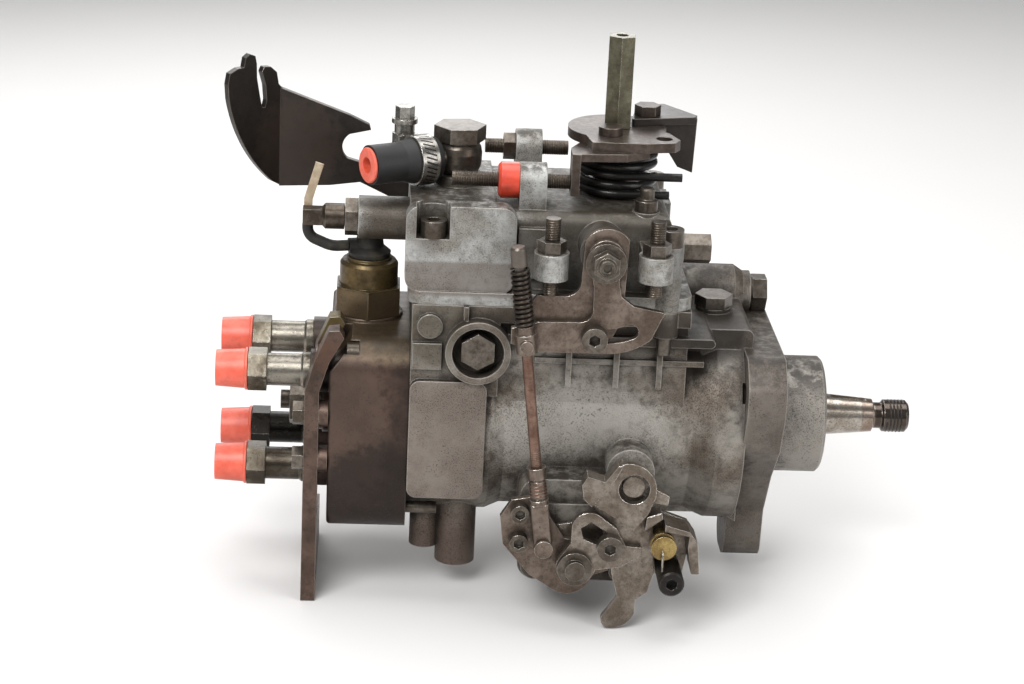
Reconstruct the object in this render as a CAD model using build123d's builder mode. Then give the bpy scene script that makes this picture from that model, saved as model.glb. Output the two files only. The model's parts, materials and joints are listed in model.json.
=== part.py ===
"""Rotary distributor injection pump for a four-cylinder diesel engine.

Millimetres.  The origin is the centre of the flange's mounting face, on the axis
of the drive shaft.  +X runs out along the shaft, +Z up to the governor cover and
-Y to the side that carries the idle and cold-start levers.
"""
from build123d import *
from math import cos, hypot, radians, sin
import os

os.makedirs("parts", exist_ok=True)

# ---------------------------------------------------------------- driving dimensions
SLIP = 0.05             # radial clearance of pins, shafts and screws in their holes
FACE_GAP = 0.3          # gap between plates that slide past each other

# Mounting end
SPIGOT_R = 25.0
SPIGOT_LEN = 22.2
FLANGE_T = 16.0
FLANGE_TOP = 38.0
FLANGE_HALF_W = 51.0
FLANGE_LOW = -64.0
BOLT_PCD = 90.0
BOLT_HOLE_R = 4.5

# Barrel of the housing
BARREL_R = 41.3
NECK_R = 45.4
REAR_R = 44.0
REAR_X = -155.0         # joint between the housing and the distributor head
BORE_R = 34.0
PUMP_BORE_R = 31.0

# Governor chamber on top of the barrel
CHAMBER_FRONT_X = -41.0
CHAMBER_HALF_W = 38.0
JOINT_Z = 59.0          # joint between the housing and the governor cover
COVER_TOP = 97.0

# Drive shaft
SHAFT_R = 10.0
TAPER_BIG_R = 9.0
TAPER_SMALL_R = 7.1
TAPER_END_X = 45.4
THREAD_R = 6.95
SHAFT_END_X = 61.2

# Vane pump, gears and governor
VANE_PUMP_X = (-49.0, -30.0)
GEAR_X = (-62.0, -54.0)
GEAR_MODULE = 1.5
DRIVE_TEETH = 40
CAGE_TEETH = 26
GOVERNOR_Z = GEAR_MODULE * (DRIVE_TEETH + CAGE_TEETH) / 2
CAGE_R = GEAR_MODULE * CAGE_TEETH / 2 - 1.7
SLEEVE_END_X = -122.0

# Roller ring, cam plate and plunger
RING_X = (-92.0, -76.0)
RING_R = GOVERNOR_Z - CAGE_R - 2.7
ROLLER_R = 4.0
ROLLER_COUNT = 4
CAM_FACE_X = -96.4
PLUNGER_R = 5.0
COLLAR_X = (-138.0, -122.0)

# Timing device under the barrel
PISTON_R = 9.0
PISTON_Z = -43.5
TIMING_X = -84.0
TIMING_BLOCK_X = (-108.0, -60.0)
TIMING_NEAR_Y = -54.0
TIMING_FAR_Y = 50.0
TIMING_LOW_Z = -56.5
TIMING_COVER_T = 4.0

# Governor lever and its pivot bolts
PIVOT_X = -127.8
PIVOT_Z = 40.5
PIVOT_BOSS_R = 13.4
PIVOT_FACE_Y = 50.0

# Distributor head
HEAD_REAR_X = -188.0
HEAD_W = 84.0
HEAD_MID_Z = -2.0
HEAD_CORNER_R = 14.0
PORT_PITCH = 42.0       # side of the square on which the four outlets stand
PORT_BOSS_R = 9.0
PORT_BOSS_T = 8.0
HOLDER_R = 6.8
HOLDER_HEX = 16.0
HOLDER_HEX_X = (HEAD_REAR_X - 34, HEAD_REAR_X - 26.2)
CAP_LEN = 13.2

# Stop solenoid
SOLENOID_X = (REAR_X + HEAD_REAR_X) / 2 - 1.5
SOLENOID_R = 12.2
SOLENOID_HEX = 26.4
SOLENOID_SEAT_Z = 41.5
SOLENOID_TOP_Z = 61.0

# Full-load screw on the cover
FULL_LOAD_Y = -8.0
FULL_LOAD_Z = 84.5
FULL_LOAD_BOSS_R = 9.0
FULL_LOAD_BOSS_X = -178.0

# Fuel return
RETURN_X = -137.0
BANJO_R = 9.5
HOSE_DIR = (-0.88, -0.475, 0.0)
HOSE_R = 8.2
HOSE_Z = COVER_TOP + HOSE_R + 4.85
BANJO_Z = (HOSE_Z - 6.15, HOSE_Z + 6.15)
HOSE_BORE_R = 4.6
HOSE_SPAN = (11.6, 42.0)
CLAMP_AT = 18.5
CLAMP_W = 8.0
CLAMP_T = 1.0
BULGE = 1.2             # swelling of the hose where its barb and band are

# Throttle lever and its stops
THROTTLE_X = -72.0
THROTTLE_SHAFT_R = 5.0
THROTTLE_PLATE_Z = (COVER_TOP + 23.5, COVER_TOP + 27.5)
THROTTLE_R = 20.4
SPRING_R = 16.0
SPRING_WIRE_R = 1.9
STOP_SCREW_R = 3.0
FRONT_STOP = (-25.0, COVER_TOP + 10.3)      # Y and Z of the idle-end stop screw
REAR_STOP = (15.0, COVER_TOP + 13.8)        # Y and Z of the full-speed stop screw
LUG_X = (-113.0, -102.0)
LUG_R = 7.6
SPACER_HEX = 10.6
SPACER_TOP_Z = COVER_TOP + 66.2
TAB_X = (-92.3, -88.8)

# Idle lever
IDLE_X = -79.2
IDLE_Z = 85.0
IDLE_SHAFT_R = 4.0
IDLE_BACK_Y = -57.0
IDLE_T = 3.0
IDLE_STOPS_X = (-100.6, -58.7)
IDLE_LUG_Z = (76.6, 87.5)
IDLE_LUG_Y = -58.5

# Link rod between the cold-start levers and the idle lever
ROD_Y = -68.5
ROD_R = 2.2
ROD_FOOT = (-98.8, -34.8)       # X and Z of the lower pin
ROD_EYE = (-109.7, 52.2)        # X and Z of the swivel in the idle lever
ROD_LEN = 128.2

# Cold-start levers
COLD_X = -63.0
COLD_Z = -8.0
COLD_SHAFT_R = 4.5
LINK_X = -85.5
LINK_Z = -43.4

# Support bracket at the rear and cable bracket at the top
SUPPORT_X = (HEAD_REAR_X - 10, HEAD_REAR_X - 4)
SUPPORT_NEAR_Y = -42.0
SUPPORT_FAR_Y = 30.0
SUPPORT_LOW_Z = -74.8
SUPPORT_HOLE_PITCH = 40.0
SUPPORT_HOLE_R = 4.5
FIN_Y = 44.6
FIN_T = 3.0
FIN_BOLT_X = (-137.0, -123.0)
FIN_BOLT_Z = 77.0


# ---------------------------------------------------------------- shaping helpers
def near(y):
    """The X-Z plane at Y = y, facing the lever side (-Y)."""
    return Plane.XZ.offset(-y)


def turn(points, origin, direction, mode=Mode.ADD):
    """Revolve an outline of (radius, height) points about an axis."""
    along = Vector(*direction).normalized()
    across = Vector(0, 1, 0) if abs(along.Y) < 0.7 else Vector(1, 0, 0)
    across = (across - along * across.dot(along)).normalized()
    with BuildSketch(Plane(origin=origin, x_dir=across, z_dir=across.cross(along))) as outline:
        with BuildLine():
            Polyline(*points, close=True)
        make_face()
    revolve(outline.sketch, axis=Axis(origin, tuple(along)), mode=mode)


def bar(radius, start, direction, length, mode=Mode.ADD):
    """A round bar, or a round hole with Mode.SUBTRACT."""
    with BuildSketch(Plane(origin=start, z_dir=direction)) as disc:
        Circle(radius)
    extrude(disc.sketch, amount=length, mode=mode)


def hexagon(flats, start, direction, length, mode=Mode.ADD, turned=0.0):
    """A hexagonal prism measured across its flats."""
    with BuildSketch(Plane(origin=start, z_dir=direction)) as six:
        RegularPolygon(flats / 2, 6, major_radius=False, rotation=turned)
    extrude(six.sketch, amount=length, mode=mode)


def slab(points, plane, thickness, corner=0.0, mode=Mode.ADD):
    """A plate with a straight-sided outline on a plane, all corners rounded alike."""
    with BuildSketch(plane) as outline:
        with BuildLine():
            Polyline(*points, close=True)
        make_face()
        if corner:
            fillet(outline.vertices(), corner)
    extrude(outline.sketch, amount=thickness, mode=mode)


def block(x, y, z, mode=Mode.ADD):
    """A box between two values on each axis."""
    with Locations(((x[0] + x[1]) / 2, (y[0] + y[1]) / 2, (z[0] + z[1]) / 2)):
        Box(abs(x[1] - x[0]), abs(y[1] - y[0]), abs(z[1] - z[0]), mode=mode)


def mirrored(points):
    """Close a half outline, given from top to bottom at positive X, by its mirror image."""
    return points + [(-x, y) for x, y in reversed(points) if abs(x) > 1e-6]


# ---------------------------------------------------------------- housing
FLANGE_HALF = [
    (FLANGE_HALF_W - 11, FLANGE_TOP), (FLANGE_HALF_W, FLANGE_TOP - 10),
    (FLANGE_HALF_W, 16), (43.5, -2), (27, -19), (13.5, -40), (12, FLANGE_LOW + 5),
    (7, FLANGE_LOW),
]
PORTS = [(y * PORT_PITCH / 2, z * PORT_PITCH / 2) for y in (-1, 1) for z in (-1, 1)]
COVER_SCREWS = [(-147.5, -38.5), (-147.5, 38.5), (-51.5, -41.5), (-51.5, 41.5)]
COVER_SCREW_R = 3.0
COVER_SCREW_SEAT = 86.5
COVER_SCREW_FOOT = 40.0
RIB_X = (-90.0, -70.3, -52.5)
RIB_T = 2.4
GOVERNOR_SHAFT_R = 5.0
GOVERNOR_SHAFT_X = (-108.0, -39.0)
INLET = (28.0, FLANGE_TOP + 7.3)
COLUMN_R = 5.5
PIVOT_SHANK_R = 5.0
TIMING_SCREWS = [(-102.0, -27.0), (-66.0, -50.0)]
TIMING_SCREW_R = 2.5

with BuildPart() as pump_housing:
    turn([(0, REAR_X), (REAR_R, REAR_X), (REAR_R, -121), (BARREL_R, -115), (BARREL_R, -37),
          (NECK_R, -27), (NECK_R, -FLANGE_T + 1), (0, -FLANGE_T + 1)], (0, 0, 0), (1, 0, 0))
    slab(mirrored(FLANGE_HALF), Plane.YZ.offset(-FLANGE_T), FLANGE_T, corner=6)
    turn([(0, -1), (SPIGOT_R, -1), (SPIGOT_R, SPIGOT_LEN - 1.2), (SPIGOT_R - 1.2, SPIGOT_LEN),
          (0, SPIGOT_LEN)], (0, 0, 0), (1, 0, 0))
    # governor chamber with its joint lip and the shelf in front of it
    block((REAR_X, CHAMBER_FRONT_X), (-CHAMBER_HALF_W, CHAMBER_HALF_W), (0, JOINT_Z))
    block((REAR_X, CHAMBER_FRONT_X), (-44, 44), (52, JOINT_Z))
    block((REAR_X, -119), (-44, 44), (20, JOINT_Z))
    with BuildSketch(near(-26)) as deck:
        with Locations(((CHAMBER_FRONT_X - FLANGE_T) / 2, 28)):
            RectangleRounded(abs(CHAMBER_FRONT_X + FLANGE_T) + 8, 36, 3)
    extrude(deck.sketch, amount=-52)
    block((-120, -32), (-41.5, 41.5), (42.5, 46.5))
    bar(2, (-32, -41.5, 44.5), (0, 1, 0), 83)
    with BuildSketch(Plane.XY.offset(24)) as ribs:
        with Locations(*[(x, y) for x in RIB_X for y in (-37, 37)]):
            Rectangle(RIB_T, 8)
    extrude(ribs.sketch, amount=19)
    block((-104, -34), (-39.4, 39.4), (33.6, 36))
    # pad cast on the lever side
    with BuildSketch(near(-40)) as pad:
        with Locations(((REAR_X - 123.5) / 2, 1.2)):
            RectangleRounded(abs(REAR_X + 123.5), 51.5, 4)
    extrude(pad.sketch, amount=7)
    # bosses: governor pivots, plugs, cold-start shaft, fuel inlet
    for side in (-1, 1):
        bar(PIVOT_BOSS_R, (PIVOT_X, side * 36, PIVOT_Z), (0, side, 0), PIVOT_FACE_Y - 36)
    bar(5.2, (-147.6, -40, 50.3), (0, -1, 0), 6)
    bar(8.5, (-133, -20, -63), (0, 0, 1), 35)
    bar(6.2, (-146.5, -20, -56), (0, 0, 1), 25)
    bar(10, (COLD_X, -30, COLD_Z), (0, -1, 0), 24)
    turn([(0, -43), (12, -43), (12, -15), (9.4, -11), (9.4, -7.8), (0, -7.8)], (0, INLET[0], INLET[1]),
         (1, 0, 0))
    block((REAR_X + 0.5, -142.5), (-46, -40), (31.7, 43))
    block((-134, -132), (-46, -43), (53, JOINT_Z))
    bar(7.5, (-26.5, 0, 44), (0, 0, 1), 4)
    # timing device and web under the barrel
    with BuildSketch(Plane.XZ.offset(-TIMING_FAR_Y)) as timing:
        with Locations(((TIMING_BLOCK_X[0] + TIMING_BLOCK_X[1]) / 2, (TIMING_LOW_Z - 12) / 2)):
            RectangleRounded(TIMING_BLOCK_X[1] - TIMING_BLOCK_X[0], abs(TIMING_LOW_Z + 12), 7)
    extrude(timing.sketch, amount=TIMING_FAR_Y - TIMING_NEAR_Y)
    slab([(-64, -30), (-64, -39), (-20, -39), (-13, -43), (-13, -30)], near(20), 40)
    # corner columns that take the front cover screws
    for x, y in COVER_SCREWS[2:]:
        bar(COLUMN_R, (x, y, 48), (0, 0, 1), JOINT_Z - 48)
    # the inside: bearing, vane pump chamber, main bore, governor chamber
    bar(SHAFT_R + SLIP, (SPIGOT_LEN + 1, 0, 0), (-1, 0, 0), 60, mode=Mode.SUBTRACT)
    bar(PUMP_BORE_R, (VANE_PUMP_X[1], 0, 0), (-1, 0, 0), 25, mode=Mode.SUBTRACT)
    bar(BORE_R, (VANE_PUMP_X[0] - 0.2, 0, 0), (-1, 0, 0), 120, mode=Mode.SUBTRACT)
    block((REAR_X + 6, -52), (-22, 22), (15, JOINT_Z + 5), mode=Mode.SUBTRACT)
    block((-118, -66), (-30, 30), (44, JOINT_Z + 5), mode=Mode.SUBTRACT)
    bar(GOVERNOR_SHAFT_R + SLIP, (GOVERNOR_SHAFT_X[1] + 0.2, 0, GOVERNOR_Z), (-1, 0, 0), 22,
        mode=Mode.SUBTRACT)
    bar(PISTON_R + SLIP, (TIMING_X, TIMING_FAR_Y + 1, PISTON_Z), (0, -1, 0), 120, mode=Mode.SUBTRACT)
    block((TIMING_X - 4.5, TIMING_X + 4.5), (-13, 13), (-42, -28), mode=Mode.SUBTRACT)
    # drilled and tapped holes
    with BuildSketch(Plane.YZ.offset(-FLANGE_T - 1)) as bolt_holes:
        with PolarLocations(BOLT_PCD / 2, 3, start_angle=-90):
            Circle(BOLT_HOLE_R)
    extrude(bolt_holes.sketch, amount=FLANGE_T + 2, mode=Mode.SUBTRACT)
    for side in (-1, 1):
        bar(10.6, (PIVOT_X, side * (PIVOT_FACE_Y + 1), PIVOT_Z), (0, -side, 0), 9, mode=Mode.SUBTRACT)
        bar(PIVOT_SHANK_R + SLIP, (PIVOT_X, side * 50, PIVOT_Z), (0, -side, 0), 32, mode=Mode.SUBTRACT)
    for x, y in COVER_SCREWS:
        bar(COVER_SCREW_R + SLIP, (x, y, JOINT_Z + 1), (0, 0, -1), JOINT_Z + 1 - COVER_SCREW_FOOT + 1,
            mode=Mode.SUBTRACT)
    for x, z in TIMING_SCREWS:
        bar(TIMING_SCREW_R + SLIP, (x, TIMING_NEAR_Y - 1, z), (0, 1, 0), 13, mode=Mode.SUBTRACT)
        bar(TIMING_SCREW_R + SLIP, (x, TIMING_FAR_Y + 1, z), (0, -1, 0), 13, mode=Mode.SUBTRACT)
    for y in (-34, 34):
        for z in (-34, 34):
            bar(2.5 + SLIP, (REAR_X - 1, y, z), (1, 0, 0), 15, mode=Mode.SUBTRACT)
    bar(COLD_SHAFT_R + SLIP, (COLD_X, -60, COLD_Z), (0, 1, 0), 30, mode=Mode.SUBTRACT)
    bar(5 + SLIP, (-6, INLET[0], INLET[1]), (-1, 0, 0), 20, mode=Mode.SUBTRACT)
    bar(5 + SLIP, (-26.5, 0, 60), (0, 0, -1), 30, mode=Mode.SUBTRACT)
pump_housing.part.label = "pump_housing"
export_step(pump_housing.part, "parts/pump_housing.step")

# ---------------------------------------------------------------- distributor head
HOLDER_SEAT = 8.0       # depth of each valve holder in its port
HEAD_SPIGOT_T = 12.0
BARREL_END_X = -142.0
HEAD_SCREW_AT = [(y, z) for y in (-34, 34) for z in (-34, 34)]
HEAD_SCREW_R = 2.5
HEAD_SCREW_DEPTH = 12.0 # depth of the screw seats in the rear face
SUPPORT_BOLT_AT = [(-37.0, -12.0), (-37.0, 8.0)]

with BuildPart() as distributor_head:
    with BuildSketch(Plane.YZ.offset(HEAD_REAR_X)) as face:
        with Locations((0, HEAD_MID_Z)):
            RectangleRounded(HEAD_W, HEAD_W, HEAD_CORNER_R)
    extrude(face.sketch, amount=REAR_X - HEAD_REAR_X)
    fillet(distributor_head.faces().sort_by(Axis.X)[0].outer_wire().edges(), 1.6)
    bar(BORE_R - SLIP, (REAR_X - 1, 0, 0), (1, 0, 0), HEAD_SPIGOT_T + 1)
    bar(12, (REAR_X, 0, 0), (1, 0, 0), BARREL_END_X - REAR_X)
    with BuildSketch(Plane.YZ.offset(HEAD_REAR_X - PORT_BOSS_T)) as bosses:
        with Locations(*PORTS):
            Circle(PORT_BOSS_R)
    extrude(bosses.sketch, amount=PORT_BOSS_T + 1)
    bar(13.5, (HEAD_REAR_X - 3, 0, 0), (1, 0, 0), 4)
    bar(14.6, (SOLENOID_X, 0, 30), (0, 0, 1), SOLENOID_SEAT_Z - 30)
    # corner relief behind the fork of the support bracket
    slab([(HEAD_REAR_X - 1, 26), (HEAD_REAR_X - 1, 48), (HEAD_REAR_X + 13, 48), (HEAD_REAR_X + 8, 38)],
         near(-15), 40, mode=Mode.SUBTRACT)
    # plunger bore, outlet ports, plug, solenoid port, screws
    bar(PLUNGER_R + SLIP, (BARREL_END_X + 1, 0, 0), (-1, 0, 0), 40, mode=Mode.SUBTRACT)
    with BuildSketch(Plane.YZ.offset(HEAD_REAR_X - PORT_BOSS_T - 1)) as ports:
        with Locations(*PORTS):
            Circle(6 + SLIP)
    extrude(ports.sketch, amount=HOLDER_SEAT + 1, mode=Mode.SUBTRACT)
    bar(8 + SLIP, (HEAD_REAR_X - 4, 0, 0), (1, 0, 0), 12, mode=Mode.SUBTRACT)
    bar(6 + SLIP, (SOLENOID_X, 0, SOLENOID_SEAT_Z + 1), (0, 0, -1), SOLENOID_SEAT_Z - 20, mode=Mode.SUBTRACT)
    with BuildSketch(Plane.YZ.offset(HEAD_REAR_X - 1)) as seats:
        with Locations(*HEAD_SCREW_AT):
            Circle(4.9)
    extrude(seats.sketch, amount=HEAD_SCREW_DEPTH + 1, mode=Mode.SUBTRACT)
    with BuildSketch(Plane.YZ.offset(HEAD_REAR_X - 1)) as holes:
        with Locations(*HEAD_SCREW_AT):
            Circle(HEAD_SCREW_R + SLIP)
    extrude(holes.sketch, amount=40, mode=Mode.SUBTRACT)
    for y, z in SUPPORT_BOLT_AT:
        bar(3 + SLIP, (HEAD_REAR_X - 1, y, z), (1, 0, 0), 13, mode=Mode.SUBTRACT)
distributor_head.part.label = "distributor_head"
export_step(distributor_head.part, "parts/distributor_head.step")

with BuildPart() as valve_holders:
    for y, z in PORTS:
        root = HEAD_REAR_X - PORT_BOSS_T
        turn([(2, root + HOLDER_SEAT - 0.2), (6, root + HOLDER_SEAT - 0.2), (6, root - 0.1),
              (7.6, root - 0.1), (7.6, root - 3), (HOLDER_R, root - 4), (HOLDER_R, HOLDER_HEX_X[1] - 1),
              (2, HOLDER_HEX_X[1] - 1)], (0, y, z), (1, 0, 0))
        hexagon(HOLDER_HEX, (HOLDER_HEX_X[0], y, z), (1, 0, 0), HOLDER_HEX_X[1] - HOLDER_HEX_X[0],
                turned=30)
        bar(5.9, (HOLDER_HEX_X[0] + 1, y, z), (-1, 0, 0), 11)
        bar(2, (HOLDER_HEX_X[0] - 12, y, z), (1, 0, 0), 40, mode=Mode.SUBTRACT)
valve_holders.part.label = "valve_holders"
export_step(valve_holders.part, "parts/valve_holders.step")

with BuildPart() as port_caps:
    for y, z in PORTS:
        mouth = HOLDER_HEX_X[0] - 0.2
        turn([(6.1, mouth), (8.9, mouth), (8.9, mouth - 0.9), (8.3, mouth - 1.2),
              (7.6, mouth - CAP_LEN), (0, mouth - CAP_LEN), (0, mouth - CAP_LEN + 1.4),
              (6.1, mouth - CAP_LEN + 1.4)], (0, y, z), (1, 0, 0))
port_caps.part.label = "port_caps"
export_step(port_caps.part, "parts/port_caps.step")

with BuildPart() as stop_solenoid:
    hexagon(SOLENOID_HEX, (SOLENOID_X, 0, SOLENOID_SEAT_Z + 0.1), (0, 0, 1), 12, turned=30)
    turn([(0, 22), (5.9, 22), (5.9, SOLENOID_SEAT_Z + 1), (SOLENOID_R, SOLENOID_SEAT_Z + 5),
          (SOLENOID_R, SOLENOID_TOP_Z + 1.6), (SOLENOID_R - 1, SOLENOID_TOP_Z + 3),
          (9.4, SOLENOID_TOP_Z + 3.4), (9.4, SOLENOID_TOP_Z + 4.5),
          (0, SOLENOID_TOP_Z + 4.5)], (SOLENOID_X, 0, 0), (0, 0, 1))
stop_solenoid.part.label = "stop_solenoid"
export_step(stop_solenoid.part, "parts/stop_solenoid.step")

BOOT_Z = SOLENOID_TOP_Z + 4.6
LEAD_Z = BOOT_Z + 4.6
LEAD_DIR = Vector(-0.97, -0.24, 0).normalized()
LEAD_START = Vector(SOLENOID_X, 0, LEAD_Z) + LEAD_DIR * 9.3
with BuildPart() as solenoid_boot:
    turn([(0, BOOT_Z), (8.6, BOOT_Z), (9, BOOT_Z + 2), (6, BOOT_Z + 4.5), (5.4, BOOT_Z + 8.5),
          (4.2, BOOT_Z + 9.3), (0, BOOT_Z + 9.3)], (SOLENOID_X, 0, 0), (0, 0, 1))
    bar(3.1, (SOLENOID_X, 0, LEAD_Z), tuple(LEAD_DIR), 9)
solenoid_boot.part.label = "solenoid_boot"
export_step(solenoid_boot.part, "parts/solenoid_boot.step")

LEAD_R = 2.3
LEAD_END = (SOLENOID_X - 26, -3.6, 79.6)
with BuildPart() as solenoid_lead:
    # wire in its sleeve, from the boot up beside the full-load screw
    with BuildLine() as route:
        FilletPolyline(LEAD_START, LEAD_START + LEAD_DIR * 7, (LEAD_END[0], LEAD_END[1], 74.4), LEAD_END,
                       radius=[12, 5.5])
    with BuildSketch(Plane(origin=route.line @ 0, z_dir=route.line % 0)) as section:
        Circle(LEAD_R)
    sweep(section.sketch, path=route.line)
solenoid_lead.part.label = "solenoid_lead"
export_step(solenoid_lead.part, "parts/solenoid_lead.step")

with BuildPart() as lead_strip:
    slab([(LEAD_END[0] - 1.7, LEAD_END[2] + 0.2), (LEAD_END[0] + 1.8, LEAD_END[2] + 0.2),
          (LEAD_END[0] + 1.8, 90), (LEAD_END[0] + 6.2, 105.3), (LEAD_END[0] + 2.8, 106.3),
          (LEAD_END[0] - 1.7, 90.6)], near(LEAD_END[1] + 0.4), 0.8)
lead_strip.part.label = "lead_strip"
export_step(lead_strip.part, "parts/lead_strip.step")

# ---------------------------------------------------------------- governor cover
COVER_X = (-157.0, CHAMBER_FRONT_X)
COVER_FLANGE_Z = (JOINT_Z, 64.6)
FACE_BLOCK_X = (-158.6, -114.0)
FACE_BLOCK_TOP = COVER_TOP + 3.2
BODY_FRONT_X = CHAMBER_FRONT_X - 9.5     # front wall of the cover above its flange
RETURN_BOSS_Z = BANJO_Z[0] - 1.1
LUG_HOLE_R = STOP_SCREW_R + SLIP
THROTTLE_BOSS_R = 12.0
SPRING_POST_AT = (-61.0, -30.0)


def stop_lug(y, z, foot_z):
    """An ear on the cover, tapped along X, with a rounded top about (y, z)."""
    with BuildSketch(Plane.YZ.offset(LUG_X[0])) as ear:
        with Locations((y, z)):
            Circle(LUG_R)
        with Locations((y, (z + foot_z) / 2)):
            Rectangle(2 * LUG_R, z - foot_z)
    extrude(ear.sketch, amount=LUG_X[1] - LUG_X[0])


with BuildPart() as governor_cover:
    block(COVER_X, (-44, 44), (JOINT_Z + 0.1, COVER_FLANGE_Z[1]))
    fillet(governor_cover.edges().filter_by(Axis.Z), 6)
    block((-155, BODY_FRONT_X), (-37, 37), (JOINT_Z + 0.1, COVER_TOP))
    fillet(governor_cover.faces().filter_by(Axis.Z).sort_by(Axis.Z)[-1].edges(), 5)
    with BuildSketch(near(-34)) as face_block:
        with Locations(((FACE_BLOCK_X[0] + FACE_BLOCK_X[1]) / 2, (FACE_BLOCK_TOP + 64) / 2)):
            RectangleRounded(FACE_BLOCK_X[1] - FACE_BLOCK_X[0], FACE_BLOCK_TOP - 64, 6)
    extrude(face_block.sketch, amount=9)
    block((-157, -122), (-36, 36), (70, COVER_TOP + 1.5))
    # bosses on top and at the ends
    bar(FULL_LOAD_BOSS_R, (FULL_LOAD_BOSS_X, FULL_LOAD_Y, FULL_LOAD_Z), (1, 0, 0), 30)
    bar(BANJO_R + 0.4, (RETURN_X, 0, COVER_TOP - 2), (0, 0, 1), RETURN_BOSS_Z - COVER_TOP + 2)
    bar(THROTTLE_BOSS_R, (THROTTLE_X, 0, COVER_TOP - 2), (0, 0, 1), 3.5)
    bar(5.5, (SPRING_POST_AT[0], SPRING_POST_AT[1], COVER_TOP - 6), (0, 0, 1), 6.5)
    bar(8, (BODY_FRONT_X - 2, -20, 79), (1, 0, 0), 8.5)
    block((BODY_FRONT_X - 4, BODY_FRONT_X + 4), (8, 30), (66, 90))
    stop_lug(FRONT_STOP[0], FRONT_STOP[1], COVER_TOP - 8)
    stop_lug(REAR_STOP[0], REAR_STOP[1], COVER_TOP - 4)
    block(LUG_X, (-39.5, FRONT_STOP[0]), (70, COVER_TOP - 6))
    # lugs of the idle adjusting screws, on arms from the near wall
    for x in IDLE_STOPS_X:
        bar(7, (x, IDLE_LUG_Y, IDLE_LUG_Z[0]), (0, 0, 1), IDLE_LUG_Z[1] - IDLE_LUG_Z[0])
        block((x - 5, x + 5), (IDLE_LUG_Y, -34), (IDLE_LUG_Z[0] + 1, IDLE_LUG_Z[1] - 1))
    bar(9.5, (IDLE_X, -34, IDLE_Z), (0, -1, 0), 16)
    # seats of the cable bracket on the far wall
    for x in FIN_BOLT_X:
        bar(6.5, (x, 34, FIN_BOLT_Z), (0, 1, 0), FIN_Y - 34 - 0.1)
    # columns of the front screws
    for x, y in COVER_SCREWS[2:]:
        bar(COLUMN_R, (x, y, JOINT_Z + 0.1), (0, 0, 1), 29)
    # the inside
    block((-149, BODY_FRONT_X - 3), (-32, 32), (JOINT_Z - 1, COVER_TOP - 6), mode=Mode.SUBTRACT)
    # seats and holes of the cover screws
    for x, y in COVER_SCREWS:
        bar(6.3, (x, y, COVER_SCREW_SEAT), (0, 0, 1), 20, mode=Mode.SUBTRACT)
        bar(COVER_SCREW_R + SLIP, (x, y, JOINT_Z - 1), (0, 0, 1), 40, mode=Mode.SUBTRACT)
    block((-154.5, -141), (-45, -36), (COVER_SCREW_SEAT, 105), mode=Mode.SUBTRACT)
    block((-158, -141), (36, 45), (COVER_SCREW_SEAT, 105), mode=Mode.SUBTRACT)
    for y, z in (FRONT_STOP, REAR_STOP):
        bar(LUG_HOLE_R, (LUG_X[0] - 1, y, z), (1, 0, 0), 20, mode=Mode.SUBTRACT)
    for x in IDLE_STOPS_X:
        bar(LUG_HOLE_R, (x, IDLE_LUG_Y, 60), (0, 0, 1), 40, mode=Mode.SUBTRACT)
    bar(IDLE_SHAFT_R + SLIP, (IDLE_X, -26, IDLE_Z), (0, -1, 0), 30, mode=Mode.SUBTRACT)
    bar(THROTTLE_SHAFT_R + SLIP, (THROTTLE_X, 0, COVER_TOP - 12), (0, 0, 1), 30, mode=Mode.SUBTRACT)
    bar(5 + SLIP, (RETURN_X, 0, COVER_TOP - 12), (0, 0, 1), 30, mode=Mode.SUBTRACT)
    bar(4 + SLIP, (FULL_LOAD_BOSS_X - 1, FULL_LOAD_Y, FULL_LOAD_Z), (1, 0, 0), 35, mode=Mode.SUBTRACT)
    bar(2.5 + SLIP, (SPRING_POST_AT[0], SPRING_POST_AT[1], COVER_TOP + 5), (0, 0, -1), 10,
        mode=Mode.SUBTRACT)
    for x in FIN_BOLT_X:
        bar(3 + SLIP, (x, 48, FIN_BOLT_Z), (0, -1, 0), 14, mode=Mode.SUBTRACT)
governor_cover.part.label = "governor_cover"
export_step(governor_cover.part, "parts/governor_cover.step")


def cap_screw(start, direction, length, radius, head_r, head_t):
    """A socket-head screw whose head seats at `start` and whose shank runs along `direction`."""
    along = Vector(*direction)
    seat = Vector(*start)
    bar(radius, start, direction, length)
    bar(head_r, tuple(seat - along * 0.05), tuple(along * -1), head_t)
    bar(radius * 0.1 + 0.5, start, tuple(along * -1), 0.1)
    hexagon(head_r, tuple(seat - along * (head_t + 1)), direction, head_t / 2 + 1, mode=Mode.SUBTRACT)


with BuildPart() as casing_screws:
    for x, y in COVER_SCREWS:
        cap_screw((x, y, COVER_SCREW_SEAT), (0, 0, -1), COVER_SCREW_SEAT - COVER_SCREW_FOOT,
                  COVER_SCREW_R, 5.3, 7)
    for y, z in HEAD_SCREW_AT:
        cap_screw((HEAD_REAR_X + HEAD_SCREW_DEPTH, y, z), (1, 0, 0), 34, HEAD_SCREW_R, 4.5, 5)
    for x, z in TIMING_SCREWS:
        cap_screw((x, TIMING_NEAR_Y - TIMING_COVER_T, z), (0, 1, 0), 14, TIMING_SCREW_R, 4.2, 2.3)
        cap_screw((x, TIMING_FAR_Y + TIMING_COVER_T, z), (0, -1, 0), 14, TIMING_SCREW_R, 4.2, 3)
casing_screws.part.label = "casing_screws"
export_step(casing_screws.part, "parts/casing_screws.step")

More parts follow.
